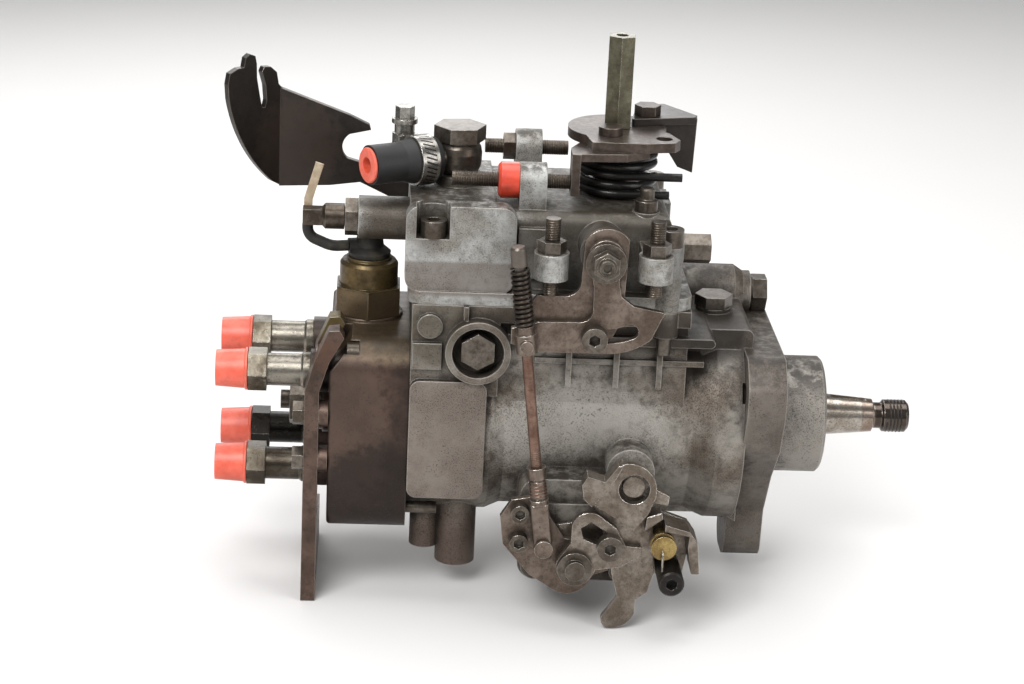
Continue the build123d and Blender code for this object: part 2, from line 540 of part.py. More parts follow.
# ---------------------------------------------------------------- screws on the cover
LOCK_NUT = 10.0
FULL_LOAD_SQUARE = 6.6
with BuildPart() as adjusting_screws:
    # full-load screw with its sleeve and square end
    turn([(0, -146), (4, -146), (4, FULL_LOAD_BOSS_X - 5.6), (5.4, FULL_LOAD_BOSS_X - 5.8),
          (5.4, -191.6), (4, -193), (3.4, -193), (3.4, -194), (0, -194)],
         (0, FULL_LOAD_Y, FULL_LOAD_Z), (1, 0, 0))
    with BuildSketch(Plane.YZ.offset(-201)) as square:
        with Locations((FULL_LOAD_Y, FULL_LOAD_Z)):
            Rectangle(FULL_LOAD_SQUARE, FULL_LOAD_SQUARE)
    extrude(square.sketch, amount=8)
    # stop screws of the throttle and idle levers
    bar(STOP_SCREW_R, (TAB_X[0] - 0.1, FRONT_STOP[0], FRONT_STOP[1]), (-1, 0, 0), 48)
    bar(STOP_SCREW_R, (-90.8, REAR_STOP[0], REAR_STOP[1]), (-1, 0, 0), 35)
    for x in IDLE_STOPS_X:
        bar(STOP_SCREW_R, (x, IDLE_LUG_Y, 70.0), (0, 0, 1), 31.5)
adjusting_screws.part.label = "adjusting_screws"
export_step(adjusting_screws.part, "parts/adjusting_screws.step")

with BuildPart() as lock_nuts:
    hexagon(14, (FULL_LOAD_BOSS_X - 0.1, FULL_LOAD_Y, FULL_LOAD_Z), (-1, 0, 0), 5.4)
    bar(4 + SLIP, (FULL_LOAD_BOSS_X + 1, FULL_LOAD_Y, FULL_LOAD_Z), (-1, 0, 0), 8, mode=Mode.SUBTRACT)
    hexagon(LOCK_NUT, (LUG_X[0] - 0.1, REAR_STOP[0], REAR_STOP[1]), (-1, 0, 0), 5)
    bar(STOP_SCREW_R + SLIP, (LUG_X[0] + 1, REAR_STOP[0], REAR_STOP[1]), (-1, 0, 0), 8,
        mode=Mode.SUBTRACT)
    for x in IDLE_STOPS_X:
        hexagon(LOCK_NUT, (x, IDLE_LUG_Y, IDLE_LUG_Z[1] + 0.1), (0, 0, 1), 4.8)
        bar(STOP_SCREW_R + SLIP, (x, IDLE_LUG_Y, IDLE_LUG_Z[1] - 1), (0, 0, 1), 8, mode=Mode.SUBTRACT)
lock_nuts.part.label = "lock_nuts"
export_step(lock_nuts.part, "parts/lock_nuts.step")

with BuildPart() as seal_collar:
    turn([(STOP_SCREW_R + SLIP, LUG_X[0] - 0.1), (7.4, LUG_X[0] - 0.1), (7.4, LUG_X[0] - 7.5),
          (6.2, LUG_X[0] - 8.6), (STOP_SCREW_R + SLIP, LUG_X[0] - 8.6)],
         (0, FRONT_STOP[0], FRONT_STOP[1]), (1, 0, 0))
seal_collar.part.label = "seal_collar"
export_step(seal_collar.part, "parts/seal_collar.step")

with BuildPart() as spring_post:
    turn([(0, COVER_TOP - 4), (2.5, COVER_TOP - 4), (2.5, COVER_TOP + 0.6), (4.6, COVER_TOP + 0.6),
          (4.6, COVER_TOP + 5), (3, COVER_TOP + 5.6), (3, COVER_TOP + 9.6), (2.4, COVER_TOP + 10.2),
          (0, COVER_TOP + 10.2)], (SPRING_POST_AT[0], SPRING_POST_AT[1], 0), (0, 0, 1))
spring_post.part.label = "spring_post"
export_step(spring_post.part, "parts/spring_post.step")

# ---------------------------------------------------------------- fuel return
BARB_R = HOSE_BORE_R - SLIP


def along_hose(distance, aside=0.0, z=HOSE_Z):
    """A point on the hose axis, or beside it towards the far side."""
    return (RETURN_X + HOSE_DIR[0] * distance + HOSE_DIR[1] * aside,
            HOSE_DIR[1] * distance - HOSE_DIR[0] * aside, z)


with BuildPart() as return_bolt:
    bar(5, (RETURN_X, 0, COVER_TOP - 9), (0, 0, 1), 30)
    bar(8.6, (RETURN_X, 0, BANJO_Z[1] + 0.1), (0, 0, 1), 0.9)
    hexagon(19, (RETURN_X, 0, BANJO_Z[1] + 0.8), (0, 0, 1), 6.2, turned=8)
return_bolt.part.label = "return_bolt"
export_step(return_bolt.part, "parts/return_bolt.step")

with BuildPart() as return_banjo:
    turn([(5.3, BANJO_Z[0]), (BANJO_R - 1.6, BANJO_Z[0]), (BANJO_R - 0.5, BANJO_Z[0] + 1.8),
          (BANJO_R, BANJO_Z[0] + 4.4), (BANJO_R, BANJO_Z[1] - 4.4), (BANJO_R - 0.5, BANJO_Z[1] - 1.8),
          (BANJO_R - 1.6, BANJO_Z[1]), (5.3, BANJO_Z[1])],
         (RETURN_X, 0, 0), (0, 0, 1))
    bar(BARB_R, along_hose(7), HOSE_DIR, 22)
return_banjo.part.label = "return_banjo"
export_step(return_banjo.part, "parts/return_banjo.step")

with BuildPart() as return_hose:
    turn([(HOSE_BORE_R, HOSE_SPAN[0]), (HOSE_R + 0.7, HOSE_SPAN[0]), (HOSE_R + BULGE, CLAMP_AT - 4.8),
          (HOSE_R + BULGE, CLAMP_AT + 4.8), (HOSE_R, CLAMP_AT + 9.5), (HOSE_R, HOSE_SPAN[1]),
          (HOSE_BORE_R, HOSE_SPAN[1])], along_hose(0), HOSE_DIR)
return_hose.part.label = "return_hose"
export_step(return_hose.part, "parts/return_hose.step")

with BuildPart() as hose_plug:
    turn([(0, 32), (BARB_R, 32), (BARB_R, HOSE_SPAN[1] + 0.1), (7.3, HOSE_SPAN[1] + 0.1),
          (7.3, HOSE_SPAN[1] + 0.9), (6.9, HOSE_SPAN[1] + 1.3), (3.4, HOSE_SPAN[1] + 1.3),
          (3.4, 36), (0, 36)], along_hose(0), HOSE_DIR)
hose_plug.part.label = "hose_plug"
export_step(hose_plug.part, "parts/hose_plug.step")

BAND_R = HOSE_R + BULGE + CLAMP_T
WORM_ASIDE = BAND_R + 3.65
with BuildPart() as hose_clamp:
    turn([(HOSE_R + BULGE + SLIP, CLAMP_AT - CLAMP_W / 2), (BAND_R, CLAMP_AT - CLAMP_W / 2),
          (BAND_R, CLAMP_AT + CLAMP_W / 2), (HOSE_R + BULGE + SLIP, CLAMP_AT + CLAMP_W / 2)],
         along_hose(0), HOSE_DIR)
    with BuildSketch(Plane(origin=along_hose(CLAMP_AT, WORM_ASIDE - 0.4, HOSE_Z - 5), x_dir=HOSE_DIR,
                           z_dir=(0, 0, 1))) as housing:
        RectangleRounded(CLAMP_W + 1, 8.4, 2)
    extrude(housing.sketch, amount=13)
    bar(4.2, along_hose(CLAMP_AT, WORM_ASIDE, HOSE_Z + 7), (0, 0, 1), 6)
    bar(5.4, along_hose(CLAMP_AT, WORM_ASIDE, HOSE_Z + 12.4), (0, 0, 1), 2)
    hexagon(7, along_hose(CLAMP_AT, WORM_ASIDE, HOSE_Z + 13.9), (0, 0, 1), 5.6)
hose_clamp.part.label = "hose_clamp"
export_step(hose_clamp.part, "parts/hose_clamp.step")

# ---------------------------------------------------------------- throttle lever
HUB_R = 9.0
THROTTLE_HUB_Z = COVER_TOP + 2
REAR_TAB = (-74.0, 23.0)
LOWER_PLATE_Z = THROTTLE_PLATE_Z[0] - 3.3

with BuildPart() as throttle_shaft:
    bar(THROTTLE_SHAFT_R, (THROTTLE_X, 0, COVER_TOP - 19), (0, 0, 1),
        THROTTLE_PLATE_Z[1] - COVER_TOP + 19 - SLIP)
throttle_shaft.part.label = "throttle_shaft"
export_step(throttle_shaft.part, "parts/throttle_shaft.step")

with BuildPart() as throttle_lever:
    # upper plate: a disc drawn out to a cable eye at its front corner
    with BuildSketch(Plane.XY.offset(THROTTLE_PLATE_Z[0])) as upper:
        with Locations((THROTTLE_X, 0)):
            Circle(THROTTLE_R)
        with BuildLine():
            Polyline((-86, -14), (-84, -26.5), (-62, -26.5), (-50, -24), (-47.5, -19), (-51, -8),
                     (-62, 4), (-86, 4), close=True)
        make_face()
    extrude(upper.sketch, amount=THROTTLE_PLATE_Z[1] - THROTTLE_PLATE_Z[0])
    bar(3.4, (-54, -17.5, THROTTLE_PLATE_Z[0] - 2), (0, 0, 1), 10, mode=Mode.SUBTRACT)
    # lower plate with the tab that meets the idle-end stop
    slab([(TAB_X[0], -31), (-70, -29), (-60, -22), (-60, -6), (-80, 6), (TAB_X[0], -21)],
         Plane.XY.offset(LOWER_PLATE_Z), 3.2)
    block(TAB_X, (-31, -21), (COVER_TOP + 5.8, LOWER_PLATE_Z + 3))
    slab([(REAR_TAB[0] - 3.5, REAR_TAB[1] - 1.5), (REAR_TAB[0] + 3.5, REAR_TAB[1] - 1.5),
          (REAR_TAB[0] + 3.5, REAR_TAB[1] + 1.5), (REAR_TAB[0] - 3.5, REAR_TAB[1] + 1.5)],
         Plane.XY.offset(COVER_TOP + 8), LOWER_PLATE_Z - COVER_TOP - 5)
    slab([(REAR_TAB[0] - 3.5, REAR_TAB[1] + 1.5), (-80, 2), (-64, 2),
          (REAR_TAB[0] + 3.5, REAR_TAB[1] + 1.5)],
         Plane.XY.offset(LOWER_PLATE_Z), 3.2)
    bar(HUB_R, (THROTTLE_X, 0, THROTTLE_HUB_Z), (0, 0, 1), THROTTLE_PLATE_Z[0] - THROTTLE_HUB_Z + 1)
    bar(THROTTLE_SHAFT_R + SLIP, (THROTTLE_X, 0, COVER_TOP - 7), (0, 0, 1), 50, mode=Mode.SUBTRACT)
throttle_lever.part.label = "throttle_lever"
export_step(throttle_lever.part, "parts/throttle_lever.step")

BRACKET_BOLT = (-58.7, 10.0)
with BuildPart() as throttle_bracket:
    slab([(-66, 1), (-38.5, 8), (-37.5, 11), (-50, 30), (-62, 24)],
         Plane.XY.offset(THROTTLE_PLATE_Z[1] + 0.1), 3, corner=1)
    slab([(-54, COVER_TOP + 30), (-37.8, COVER_TOP + 30), (-38.5, COVER_TOP + 6.6),
          (-45, COVER_TOP + 9), (-49, COVER_TOP + 15)], near(11), 3)
    bar(3 + SLIP, (BRACKET_BOLT[0], BRACKET_BOLT[1], COVER_TOP + 23), (0, 0, 1), 20, mode=Mode.SUBTRACT)
    hexagon(SPACER_HEX + 1, (THROTTLE_X, 0, COVER_TOP + 23), (0, 0, 1), 20, mode=Mode.SUBTRACT)
throttle_bracket.part.label = "throttle_bracket"
export_step(throttle_bracket.part, "parts/throttle_bracket.step")

with BuildPart() as hex_spacer:
    hexagon(SPACER_HEX, (THROTTLE_X, 0, THROTTLE_PLATE_Z[1] + 0.1), (0, 0, 1),
            SPACER_TOP_Z - THROTTLE_PLATE_Z[1] - 0.1, turned=25)
    turn([(SPACER_HEX / 2 + 0.1, SPACER_TOP_Z + 0.5), (SPACER_HEX, SPACER_TOP_Z + 0.5),
          (SPACER_HEX, SPACER_TOP_Z - 2)], (THROTTLE_X, 0, 0), (0, 0, 1), mode=Mode.SUBTRACT)
    bar(2.5, (THROTTLE_X, 0, SPACER_TOP_Z + 1), (0, 0, -1), 12, mode=Mode.SUBTRACT)
hex_spacer.part.label = "hex_spacer"
export_step(hex_spacer.part, "parts/hex_spacer.step")

with BuildPart() as throttle_bolts:
    bar(3, (BRACKET_BOLT[0], BRACKET_BOLT[1], THROTTLE_PLATE_Z[1] + 0.2), (0, 0, 1), 4)
    hexagon(9.6, (BRACKET_BOLT[0], BRACKET_BOLT[1], THROTTLE_PLATE_Z[1] + 3.2), (0, 0, 1), 4.2)
    bar(5, (-75.8, -12.8, THROTTLE_PLATE_Z[1] + 0.1), (0, 0, 1), 3.4)
throttle_bolts.part.label = "throttle_bolts"
export_step(throttle_bolts.part, "parts/throttle_bolts.step")

SPRING_TURNS = 4.0
SPRING_Z = (COVER_TOP + 3, LOWER_PLATE_Z - 2.4)
with BuildPart() as throttle_spring:
    with BuildLine() as coil:
        Helix(pitch=(SPRING_Z[1] - SPRING_Z[0]) / SPRING_TURNS, height=SPRING_Z[1] - SPRING_Z[0],
              radius=SPRING_R, center=(THROTTLE_X, 0, SPRING_Z[0]))
    with BuildSketch(Plane(origin=coil.line @ 0, z_dir=coil.line % 0)) as wire:
        RegularPolygon(SPRING_WIRE_R, 8)
    sweep(wire.sketch, path=coil.line)
throttle_spring.part.label = "throttle_spring"
export_step(throttle_spring.part, "parts/throttle_spring.step")

# ---------------------------------------------------------------- idle lever
FAN_BACK_Y = IDLE_BACK_Y - IDLE_T - FACE_GAP
IDLE_FRONT_Y = FAN_BACK_Y - IDLE_T
SLOT_R = 31.0           # radius of the adjusting slot about the pivot
SLOT_SCREW_AT = (IDLE_X + SLOT_R * cos(radians(-96)), IDLE_Z + SLOT_R * sin(radians(-96)))

with BuildPart() as idle_lever:
    with BuildSketch(near(IDLE_BACK_Y)) as back:
        with BuildLine():
            Line((-70.3, 80), (-69.9, 93.5))
            ThreePointArc((-69.9, 93.5), (IDLE_X, 98), (-87.5, 93))
            Polyline((-87.5, 93), (-88.2, 76.5))
            ThreePointArc((-88.2, 76.5), (-90.2, 71.2), (-94.5, 69.5))
            Polyline((-94.5, 69.5), (-105.5, 69.5), (-107.5, 67), (-107.5, 62), (-101, 52), (-90, 49.4),
                     (-76, 50), (-71, 60), (-70.3, 80))
        make_face()
    extrude(back.sketch, amount=IDLE_T)
    bar(IDLE_SHAFT_R + SLIP, (IDLE_X, -50, IDLE_Z), (0, -1, 0), 30, mode=Mode.SUBTRACT)
    bar(3 + SLIP, (SLOT_SCREW_AT[0], -50, SLOT_SCREW_AT[1]), (0, -1, 0), 30, mode=Mode.SUBTRACT)
idle_lever.part.label = "idle_lever"
export_step(idle_lever.part, "parts/idle_lever.step")

with BuildPart() as idle_fan:
    with BuildSketch(near(FAN_BACK_Y)) as fan:
        with BuildLine():
            ThreePointArc((-72.5, 89.5), (IDLE_X, 94.2), (-86, 89.5))
            Polyline((-86, 89.5), (-83.4, 74.5), (-83.2, 65.5))
            ThreePointArc((-83.2, 65.5), (-84.8, 61.2), (-89, 59.8))
            Polyline((-89, 59.8), (-104.5, 59.5), (-115.5, 56.5), (-115.5, 50), (-104, 46.8),
                     (-79, 46.8))
            ThreePointArc((-79, 46.8), (-67, 48.6), (-59.3, 53.2))
            Polyline((-59.3, 53.2), (-54.4, 64.6), (-67, 67), (-72.2, 71), (-73.5, 77), (-72.5, 89.5))
        make_face()
        with BuildLine(mode=Mode.PRIVATE) as slot_line:
            CenterArc((IDLE_X, IDLE_Z), SLOT_R, -99, 31)
        SlotArc(slot_line.edge(), 6.2, mode=Mode.SUBTRACT)
        with Locations(ROD_EYE):
            Circle(3.4, mode=Mode.SUBTRACT)
    extrude(fan.sketch, amount=IDLE_T)
    bar(IDLE_SHAFT_R + SLIP, (IDLE_X, -50, IDLE_Z), (0, -1, 0), 30, mode=Mode.SUBTRACT)
idle_fan.part.label = "idle_fan"
export_step(idle_fan.part, "parts/idle_fan.step")

with BuildPart() as idle_fasteners:
    bar(8.2, (IDLE_X, IDLE_FRONT_Y - 0.1, IDLE_Z), (0, -1, 0), 1.4)
    hexagon(10, (IDLE_X, IDLE_FRONT_Y - 1.4, IDLE_Z), (0, -1, 0), 4.6)
    bar(IDLE_SHAFT_R + SLIP, (IDLE_X, -50, IDLE_Z), (0, -1, 0), 30, mode=Mode.SUBTRACT)
    # the shaft itself, and the screw that clamps the fan plate through its slot
    bar(IDLE_SHAFT_R, (IDLE_X, -28, IDLE_Z), (0, -1, 0), 42)
    bar(5.2, (SLOT_SCREW_AT[0], IDLE_FRONT_Y - 0.1, SLOT_SCREW_AT[1]), (0, -1, 0), 6.2)
    bar(2.95, (SLOT_SCREW_AT[0], IDLE_FRONT_Y - 0.5, SLOT_SCREW_AT[1]), (0, 1, 0), 6.3)
    hexagon(4.4, (SLOT_SCREW_AT[0], IDLE_FRONT_Y - 7, SLOT_SCREW_AT[1]), (0, 1, 0), 4, mode=Mode.SUBTRACT)
idle_fasteners.part.label = "idle_fasteners"
export_step(idle_fasteners.part, "parts/idle_fasteners.step")

# ---------------------------------------------------------------- link rod
rod_up = Vector(ROD_EYE[0] - ROD_FOOT[0], 0, ROD_EYE[1] - ROD_FOOT[1]).normalized()
rod_foot = Vector(ROD_FOOT[0], ROD_Y, ROD_FOOT[1])
EYE_AT = hypot(ROD_EYE[0] - ROD_FOOT[0], ROD_EYE[1] - ROD_FOOT[1])


def up_rod(distance):
    """A point on the rod's axis, measured from its lower pin."""
    return tuple(rod_foot + rod_up * distance)


with BuildPart() as link_rod:
    turn([(0, 9), (ROD_R, 9), (ROD_R, ROD_LEN - 8), (3.3, ROD_LEN - 8), (3.3, ROD_LEN - 1),
          (2.6, ROD_LEN), (0, ROD_LEN)], tuple(rod_foot), tuple(rod_up))
link_rod.part.label = "link_rod"
export_step(link_rod.part, "parts/link_rod.step")

COIL_COUNT = 12
coil_low = EYE_AT + 7.6
coil_high = ROD_LEN - 8.4
coil_step = (coil_high - coil_low) / COIL_COUNT
coil_outline = [(ROD_R + 0.3, coil_low)]
for turn_index in range(COIL_COUNT):
    coil_outline.append((4.0, coil_low + coil_step * (turn_index + 0.1)))
    coil_outline.append((4.0, coil_low + coil_step * (turn_index + 0.5)))
    coil_outline.append((3.0, coil_low + coil_step * (turn_index + 0.75)))
coil_outline.append((ROD_R + 0.3, coil_high))
with BuildPart() as link_spring:
    turn(coil_outline, tuple(rod_foot), tuple(rod_up))
link_spring.part.label = "link_spring"
export_step(link_spring.part, "parts/link_spring.step")

with BuildPart() as rod_fittings:
    # swivel: a drilled block on a pin that turns in the idle lever's eye
    bar(4.2, up_rod(EYE_AT - 4), tuple(rod_up), 8)
    bar(3.4, up_rod(EYE_AT + 3.5), tuple(rod_up), 3.9)
    bar(3.0, (ROD_EYE[0], ROD_Y + 3, ROD_EYE[1]), (0, 1, 0), IDLE_BACK_Y - IDLE_T - ROD_Y - 3.2)
    bar(2.6, (ROD_EYE[0], ROD_Y - 3, ROD_EYE[1]), (0, -1, 0), 3)
    bar(ROD_R + SLIP, up_rod(EYE_AT - 8), tuple(rod_up), 16, mode=Mode.SUBTRACT)
    # adjuster and fork block at the foot
    turn([(ROD_R + SLIP, 34.4), (3.8, 34.4), (3.8, 29.6), (2.8, 29.2), (3.4, 28.4), (3.4, 21.3),
          (3.0, 20.8), (4.0, 20.4), (4.0, 18.4), (ROD_R + SLIP, 18.4)], tuple(rod_foot), tuple(rod_up))
    with BuildSketch(Plane(origin=up_rod(-2.5), x_dir=(0, 1, 0), z_dir=tuple(rod_up))) as foot:
        RectangleRounded(7.2, 7.6, 1.5)
    extrude(foot.sketch, amount=21)
    bar(ROD_R + SLIP, up_rod(8.9), tuple(rod_up), 10, mode=Mode.SUBTRACT)
    bar(3.0 + SLIP, (ROD_FOOT[0], ROD_Y + 8, ROD_FOOT[1]), (0, -1, 0), 16, mode=Mode.SUBTRACT)
rod_fittings.part.label = "rod_fittings"
export_step(rod_fittings.part, "parts/rod_fittings.step")

# ---------------------------------------------------------------- cold-start levers
BASE_Y = TIMING_NEAR_Y - TIMING_COVER_T
BASE_T = 2.4
LINK_BACK_Y = BASE_Y - BASE_T - FACE_GAP
LINK_T = 3.0
STEM_BACK_Y = LINK_BACK_Y - LINK_T - 1.0
STEM_T = 3.0
CLAMP_BACK_Y = STEM_BACK_Y - STEM_T - FACE_GAP
CLAMP_PLATE_T = 3.0
WINDOW_BACK_Y = CLAMP_BACK_Y - CLAMP_PLATE_T + 1.6
BRASS_AT = (-49.8, -32.2)
STOP_PIN_AT = (-46.4, -45.4)

with BuildPart() as timing_covers:
    for y, side in ((TIMING_NEAR_Y, -1), (TIMING_FAR_Y, 1)):
        with BuildSketch(Plane.XZ.offset(-y)) as cover:
            with Locations(((TIMING_BLOCK_X[0] + TIMING_BLOCK_X[1]) / 2, -38)):
                RectangleRounded(TIMING_BLOCK_X[1] - TIMING_BLOCK_X[0] - 2, 34, 6)
        extrude(cover.sketch, amount=-side * TIMING_COVER_T)
        for x, z in TIMING_SCREWS:
            bar(TIMING_SCREW_R + SLIP, (x, y - side * 5, z), (0, side, 0), 15, mode=Mode.SUBTRACT)
    bar(3 + SLIP, (LINK_X, TIMING_NEAR_Y - 0.9, LINK_Z), (0, -1, 0), 5, mode=Mode.SUBTRACT)
timing_covers.part.label = "timing_covers"
export_step(timing_covers.part, "parts/timing_covers.step")

with BuildPart() as cold_base:
    # fixed plate that carries the lever pivot and, on its arm, the stops and the cable hook
    slab([(-98, -30), (-60, -24), (-53, -21), (-39, -26), (-37, -31), (-40, -52), (-50, -51),
          (-56, -44), (-78, -52), (-96, -50)], near(BASE_Y - 0.1), BASE_T, corner=1.5)
    slab([(-39, -26), (-35.6, -31), (-34.2, -44.5), (-37.6, -44.5), (-39.6, -33)],
         near(BASE_Y - 0.1), 15, corner=0.6)
    slab([(-49.4, -23), (-39, -26), (-38, -28), (-49.4, -26)], near(BASE_Y - 0.1), 15)
    for x, z in TIMING_SCREWS:
        bar(4.6, (x, BASE_Y + 1, z), (0, -1, 0), 5, mode=Mode.SUBTRACT)
    bar(3 + SLIP, (LINK_X, BASE_Y + 1, LINK_Z), (0, -1, 0), 5, mode=Mode.SUBTRACT)
    bar(COLD_SHAFT_R + 1, (COLD_X, BASE_Y + 1, COLD_Z), (0, -1, 0), 5, mode=Mode.SUBTRACT)
cold_base.part.label = "cold_base"
export_step(cold_base.part, "parts/cold_base.step")

with BuildPart() as cold_shaft:
    bar(COLD_SHAFT_R, (COLD_X, -36, COLD_Z), (0, -1, 0), abs(WINDOW_BACK_Y) - 36 + 0.5)
    bar(3, (COLD_X, -36, COLD_Z + 1), (0, 1, 0), 3)
cold_shaft.part.label = "cold_shaft"
export_step(cold_shaft.part, "parts/cold_shaft.step")

with BuildPart() as link_lever:
    with BuildSketch(near(LINK_BACK_Y)) as heel:
        with BuildLine():
            Polyline((-89.5, -34), (-96, -24.5), (-104, -16), (-112, -17.5), (-116.5, -25),
                     (-115, -37), (-103.5, -50.5), (-93.5, -57))
            ThreePointArc((-93.5, -57), (-84, -58), (-77.5, -49.5))
            ThreePointArc((-77.5, -49.5), (-77.5, -39), (-84, -34.5))
            Line((-84, -34.5), (-89.5, -34))
        make_face()
    extrude(heel.sketch, amount=LINK_T)
    bar(3, (ROD_FOOT[0], LINK_BACK_Y - LINK_T + 0.5, ROD_FOOT[1]), (0, -1, 0), 10.5)
    bar(3.8, (ROD_FOOT[0], ROD_Y - 4.3, ROD_FOOT[1]), (0, -1, 0), 1.6)
    bar(3 + SLIP, (LINK_X, LINK_BACK_Y + 2, LINK_Z), (0, -1, 0), 8, mode=Mode.SUBTRACT)
link_lever.part.label = "link_lever"
export_step(link_lever.part, "parts/link_lever.step")

with BuildPart() as clamp_plate:
    with BuildSketch(near(CLAMP_BACK_Y)) as tear:
        with BuildLine():
            Polyline((-92.8, -41), (-87.5, -33), (-87.3, -25))
            ThreePointArc((-87.3, -25), (-82.5, -19.7), (-77, -20))
            Polyline((-77, -20), (-69, -26), (-65, -33.6), (-58.4, -34.2), (-58.2, -37.4),
                     (-66.3, -43), (-77, -44.5))
            ThreePointArc((-77, -44.5), (-85.5, -51.2), (-92.8, -41))
        make_face()
        with BuildLine():
            Polyline((-83.8, -26.2), (-79.5, -23.4), (-71.6, -28.6), (-76.4, -33.5), (-82.4, -31),
                     close=True)
        make_face(mode=Mode.SUBTRACT)
    extrude(tear.sketch, amount=CLAMP_PLATE_T)
    bar(3 + SLIP, (LINK_X, CLAMP_BACK_Y + 2, LINK_Z), (0, -1, 0), 8, mode=Mode.SUBTRACT)
clamp_plate.part.label = "clamp_plate"
export_step(clamp_plate.part, "parts/clamp_plate.step")

with BuildPart() as cold_lever:
    # stem that hangs from the shaft, ending in a hooked toe
    with BuildSketch(near(STEM_BACK_Y)) as stem:
        with BuildLine():
            Polyline((-80, -14), (-70, -5), (-56, -14), (-53.6, -29.5), (-53.2, -38), (-52.2, -46.5),
                     (-54.5, -55.4), (-59.2, -59.1), (-59.3, -65))
            ThreePointArc((-59.3, -65), (-63, -70.2), (-69.7, -72.1))
            ThreePointArc((-69.7, -72.1), (-72.8, -69.6), (-71.8, -65.6))
            Polyline((-71.8, -65.6), (-66.8, -57.9), (-69.4, -49), (-71.6, -36), (-80, -14))
        make_face()
    extrude(stem.sketch, amount=STEM_T)
    # joggle and the windowed plate that stands proud of the stem
    slab([(-80, -14.5), (-76.5, -12), (-60.5, -23.5), (-62, -26)], near(STEM_BACK_Y),
         STEM_BACK_Y - WINDOW_BACK_Y + 3)
    with BuildSketch(near(WINDOW_BACK_Y)) as window:
        with BuildLine():
            Polyline((-80.8, -14.3), (-83.5, -9.5), (-82.6, -3.4), (-76, -5.8), (-72.1, -1.8), (-68.3, 2.7))
            ThreePointArc((-68.3, 2.7), (-58.5, 0.8), (-53.9, -7.5))
            Polyline((-53.9, -7.5), (-54, -11.3), (-56.8, -18.9), (-61, -24.3), (-64.8, -21.3),
                     (-69.5, -17.9), (-76.6, -15), (-80.8, -14.3))
        make_face()
        with Locations((COLD_X, COLD_Z)):
            Circle(6.4, mode=Mode.SUBTRACT)
    extrude(window.sketch, amount=3)
    # wing on the left and ear on the right of the window, bent back from the plate
    slab([(-84.3, -6.5), (-82.2, -2.8), (-75, -5), (-70, 2), (-68, 2.4), (-71, -4), (-77, -12.5),
          (-80, -16), (-83.4, -12.6)], near(STEM_BACK_Y), 8)
    slab([(-54.4, -8), (-48.4, -11), (-48.8, -15), (-55, -14)], near(WINDOW_BACK_Y + 0.5), 2.5)
    slab([(-57, -20.5), (-51, -18.4), (-50.4, -21), (-57.5, -26.2)], near(STEM_BACK_Y), 7)
    bar(COLD_SHAFT_R + SLIP, (COLD_X, STEM_BACK_Y + 1, COLD_Z), (0, -1, 0), STEM_T + 1.5, mode=Mode.SUBTRACT)
cold_lever.part.label = "cold_lever"
export_step(cold_lever.part, "parts/cold_lever.step")

LINK_FRONT_Y = LINK_BACK_Y - LINK_T
CLAMP_FRONT_Y = CLAMP_BACK_Y - CLAMP_PLATE_T
with BuildPart() as lever_screws:
    for x, z in ((-108.6, -21.9), (-108.6, -34.8)):
        bar(3.8, (x, LINK_FRONT_Y - 0.1, z), (0, -1, 0), 5)
        hexagon(4, (x, LINK_FRONT_Y - 6, z), (0, 1, 0), 3, mode=Mode.SUBTRACT)
    bar(5.4, (-71.6, CLAMP_FRONT_Y - 0.1, -33.4), (0, -1, 0), 4.6)
    hexagon(4.4, (-71.6, CLAMP_FRONT_Y - 6, -33.4), (0, 1, 0), 3.6, mode=Mode.SUBTRACT)
lever_screws.part.label = "lever_screws"
export_step(lever_screws.part, "parts/lever_screws.step")

with BuildPart() as link_pivot:
    bar(3, (LINK_X, TIMING_NEAR_Y - 1, LINK_Z), (0, -1, 0), abs(CLAMP_FRONT_Y) + TIMING_NEAR_Y + 2)
    bar(7.2, (LINK_X, CLAMP_FRONT_Y - 0.3, LINK_Z), (0, -1, 0), 2.4)
    bar(4.2, (LINK_X, CLAMP_FRONT_Y - 2, LINK_Z), (0, -1, 0), 3)
    bar(5.5, (LINK_X, LINK_BACK_Y - LINK_T - FACE_GAP, LINK_Z), (0, -1, 0),
        LINK_BACK_Y - LINK_T - CLAMP_BACK_Y - 2 * FACE_GAP)
link_pivot.part.label = "link_pivot"
export_step(link_pivot.part, "parts/link_pivot.step")

with BuildPart() as brass_stop:
    turn([(0, 0.1), (3, 0.1), (3, 9.4), (5.2, 9.6), (5.2, 11.4), (4.2, 11.8), (4.2, 13), (5.2, 13.4),
          (5.2, 15.4), (0, 15.4)], (BRASS_AT[0], BASE_Y - BASE_T - 0.1, BRASS_AT[1]), (0, -1, 0))
brass_stop.part.label = "brass_stop"
export_step(brass_stop.part, "parts/brass_stop.step")

with BuildPart() as stop_pin:
    turn([(0, 0.1), (5, 0.1), (5.3, 6), (5.3, 21), (4.7, 21.6), (0, 21.6)],
         (STOP_PIN_AT[0], BASE_Y - BASE_T - 0.1, STOP_PIN_AT[1]), (0, -1, 0))
    hexagon(4.4, (STOP_PIN_AT[0], BASE_Y - BASE_T - 23, STOP_PIN_AT[1]), (0, 1, 0), 5, mode=Mode.SUBTRACT)
stop_pin.part.label = "stop_pin"
export_step(stop_pin.part, "parts/stop_pin.step")

